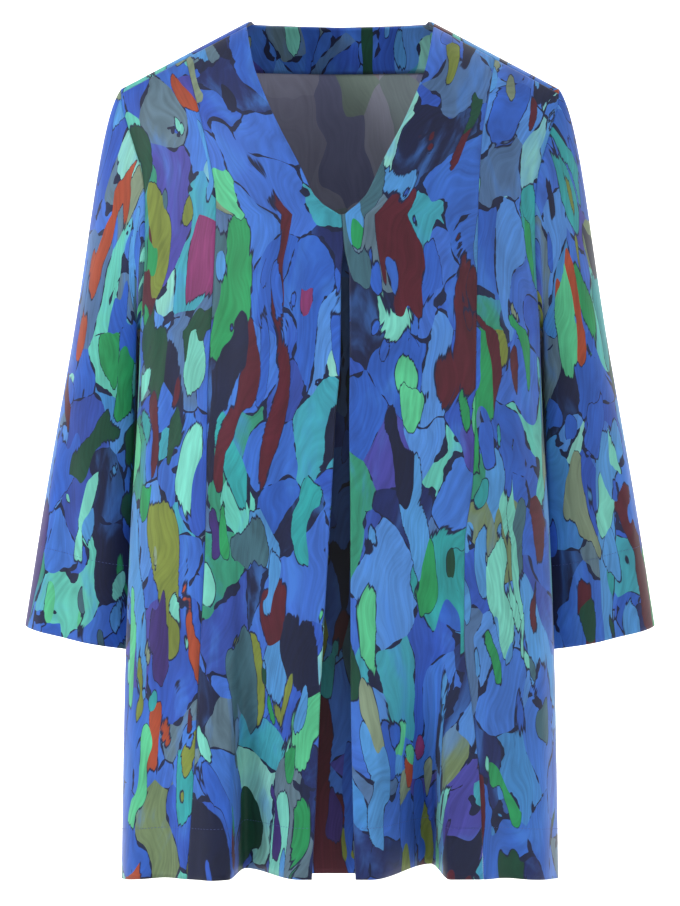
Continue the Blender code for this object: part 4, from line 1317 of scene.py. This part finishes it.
# Plain surroundings: a round cove of pale seamless paper, a floor that bends up into a wall on
# every side, with soft lamps and an even sky above it.
PAPER = "F6F6F4"
FLOOR = -1.02
COVE_RADIUS = 7.5
COVE_BEND = 2.8
COVE_TOP = 4.2
BEND_STEPS = 16
ROUND_STEPS = 72
cove = bmesh.new()
flat = COVE_RADIUS - COVE_BEND
profile = [(0.0, FLOOR), (flat / 2, FLOOR)]
for step in range(BEND_STEPS + 1):
    angle = math.pi / 2 * step / BEND_STEPS
    across = flat + COVE_BEND * math.sin(angle)
    profile.append((across, FLOOR + COVE_BEND * (1 - math.cos(angle))))
profile.append((COVE_RADIUS, COVE_TOP))
line = [cove.verts.new((across, 0.0, height)) for across, height in profile]
edges = [cove.edges.new(pair) for pair in zip(line, line[1:])]
bmesh.ops.spin(
    cove, geom=line + edges, axis=(0, 0, 1), cent=(0, 0, 0), angle=2 * math.pi,
    steps=ROUND_STEPS, use_merge=True,
)
bmesh.ops.remove_doubles(cove, verts=cove.verts, dist=MERGE_DISTANCE)
for face in cove.faces:
    face.smooth = True
bmesh.ops.recalc_face_normals(cove, faces=cove.faces)
cove_mesh = bpy.data.meshes.new("paper_cove")
cove.to_mesh(cove_mesh)
cove.free()
paper = bpy.data.materials.new("seamless_paper")
paper.use_nodes = True
paper_surface = paper.node_tree.nodes["Principled BSDF"]
paper_surface.inputs["Base Color"].default_value = hex_colour(PAPER)
paper_surface.inputs["Roughness"].default_value = 0.9
cove_mesh.materials.append(paper)
cove_object = bpy.data.objects.new("paper_cove", cove_mesh)
bpy.context.scene.collection.objects.link(cove_object)

# Each lamp's place, what it is aimed at, its width and its power in watts
Lamp = namedtuple("Lamp", "name place aim size power")
BLOUSE_MIDDLE = (0.0, 0.0, -0.35)
LAMPS = (
    Lamp("key_lamp", (-2.4, -1.7, 1.4), BLOUSE_MIDDLE, 1.0, 60.0),
    Lamp("fill_lamp", (2.4, -2.2, 0.5), BLOUSE_MIDDLE, 1.8, 17.0),
    Lamp("back_lamp", (0.6, 1.0, 1.9), BLOUSE_MIDDLE, 1.4, 18.0),
    Lamp("wall_lamp", (0.0, 3.2, 3.0), (0.0, 6.6, -0.8), 2.4, 520.0),
)
SKY_STRENGTH = 0.42
for lamp in LAMPS:
    light = bpy.data.lights.new(lamp.name, "AREA")
    light.size = lamp.size
    light.energy = lamp.power
    lamp_object = bpy.data.objects.new(lamp.name, light)
    lamp_object.location = lamp.place
    beam = Vector(lamp.aim) - Vector(lamp.place)
    lamp_object.rotation_euler = beam.to_track_quat("-Z", "Y").to_euler()
    bpy.context.scene.collection.objects.link(lamp_object)
sky = bpy.data.worlds.new("even_sky")
sky.use_nodes = True
sky.node_tree.nodes["Background"].inputs["Color"].default_value = hex_colour("FFFFFF")
sky.node_tree.nodes["Background"].inputs["Strength"].default_value = SKY_STRENGTH
bpy.context.scene.world = sky
bpy.context.scene.view_settings.view_transform = "Standard"
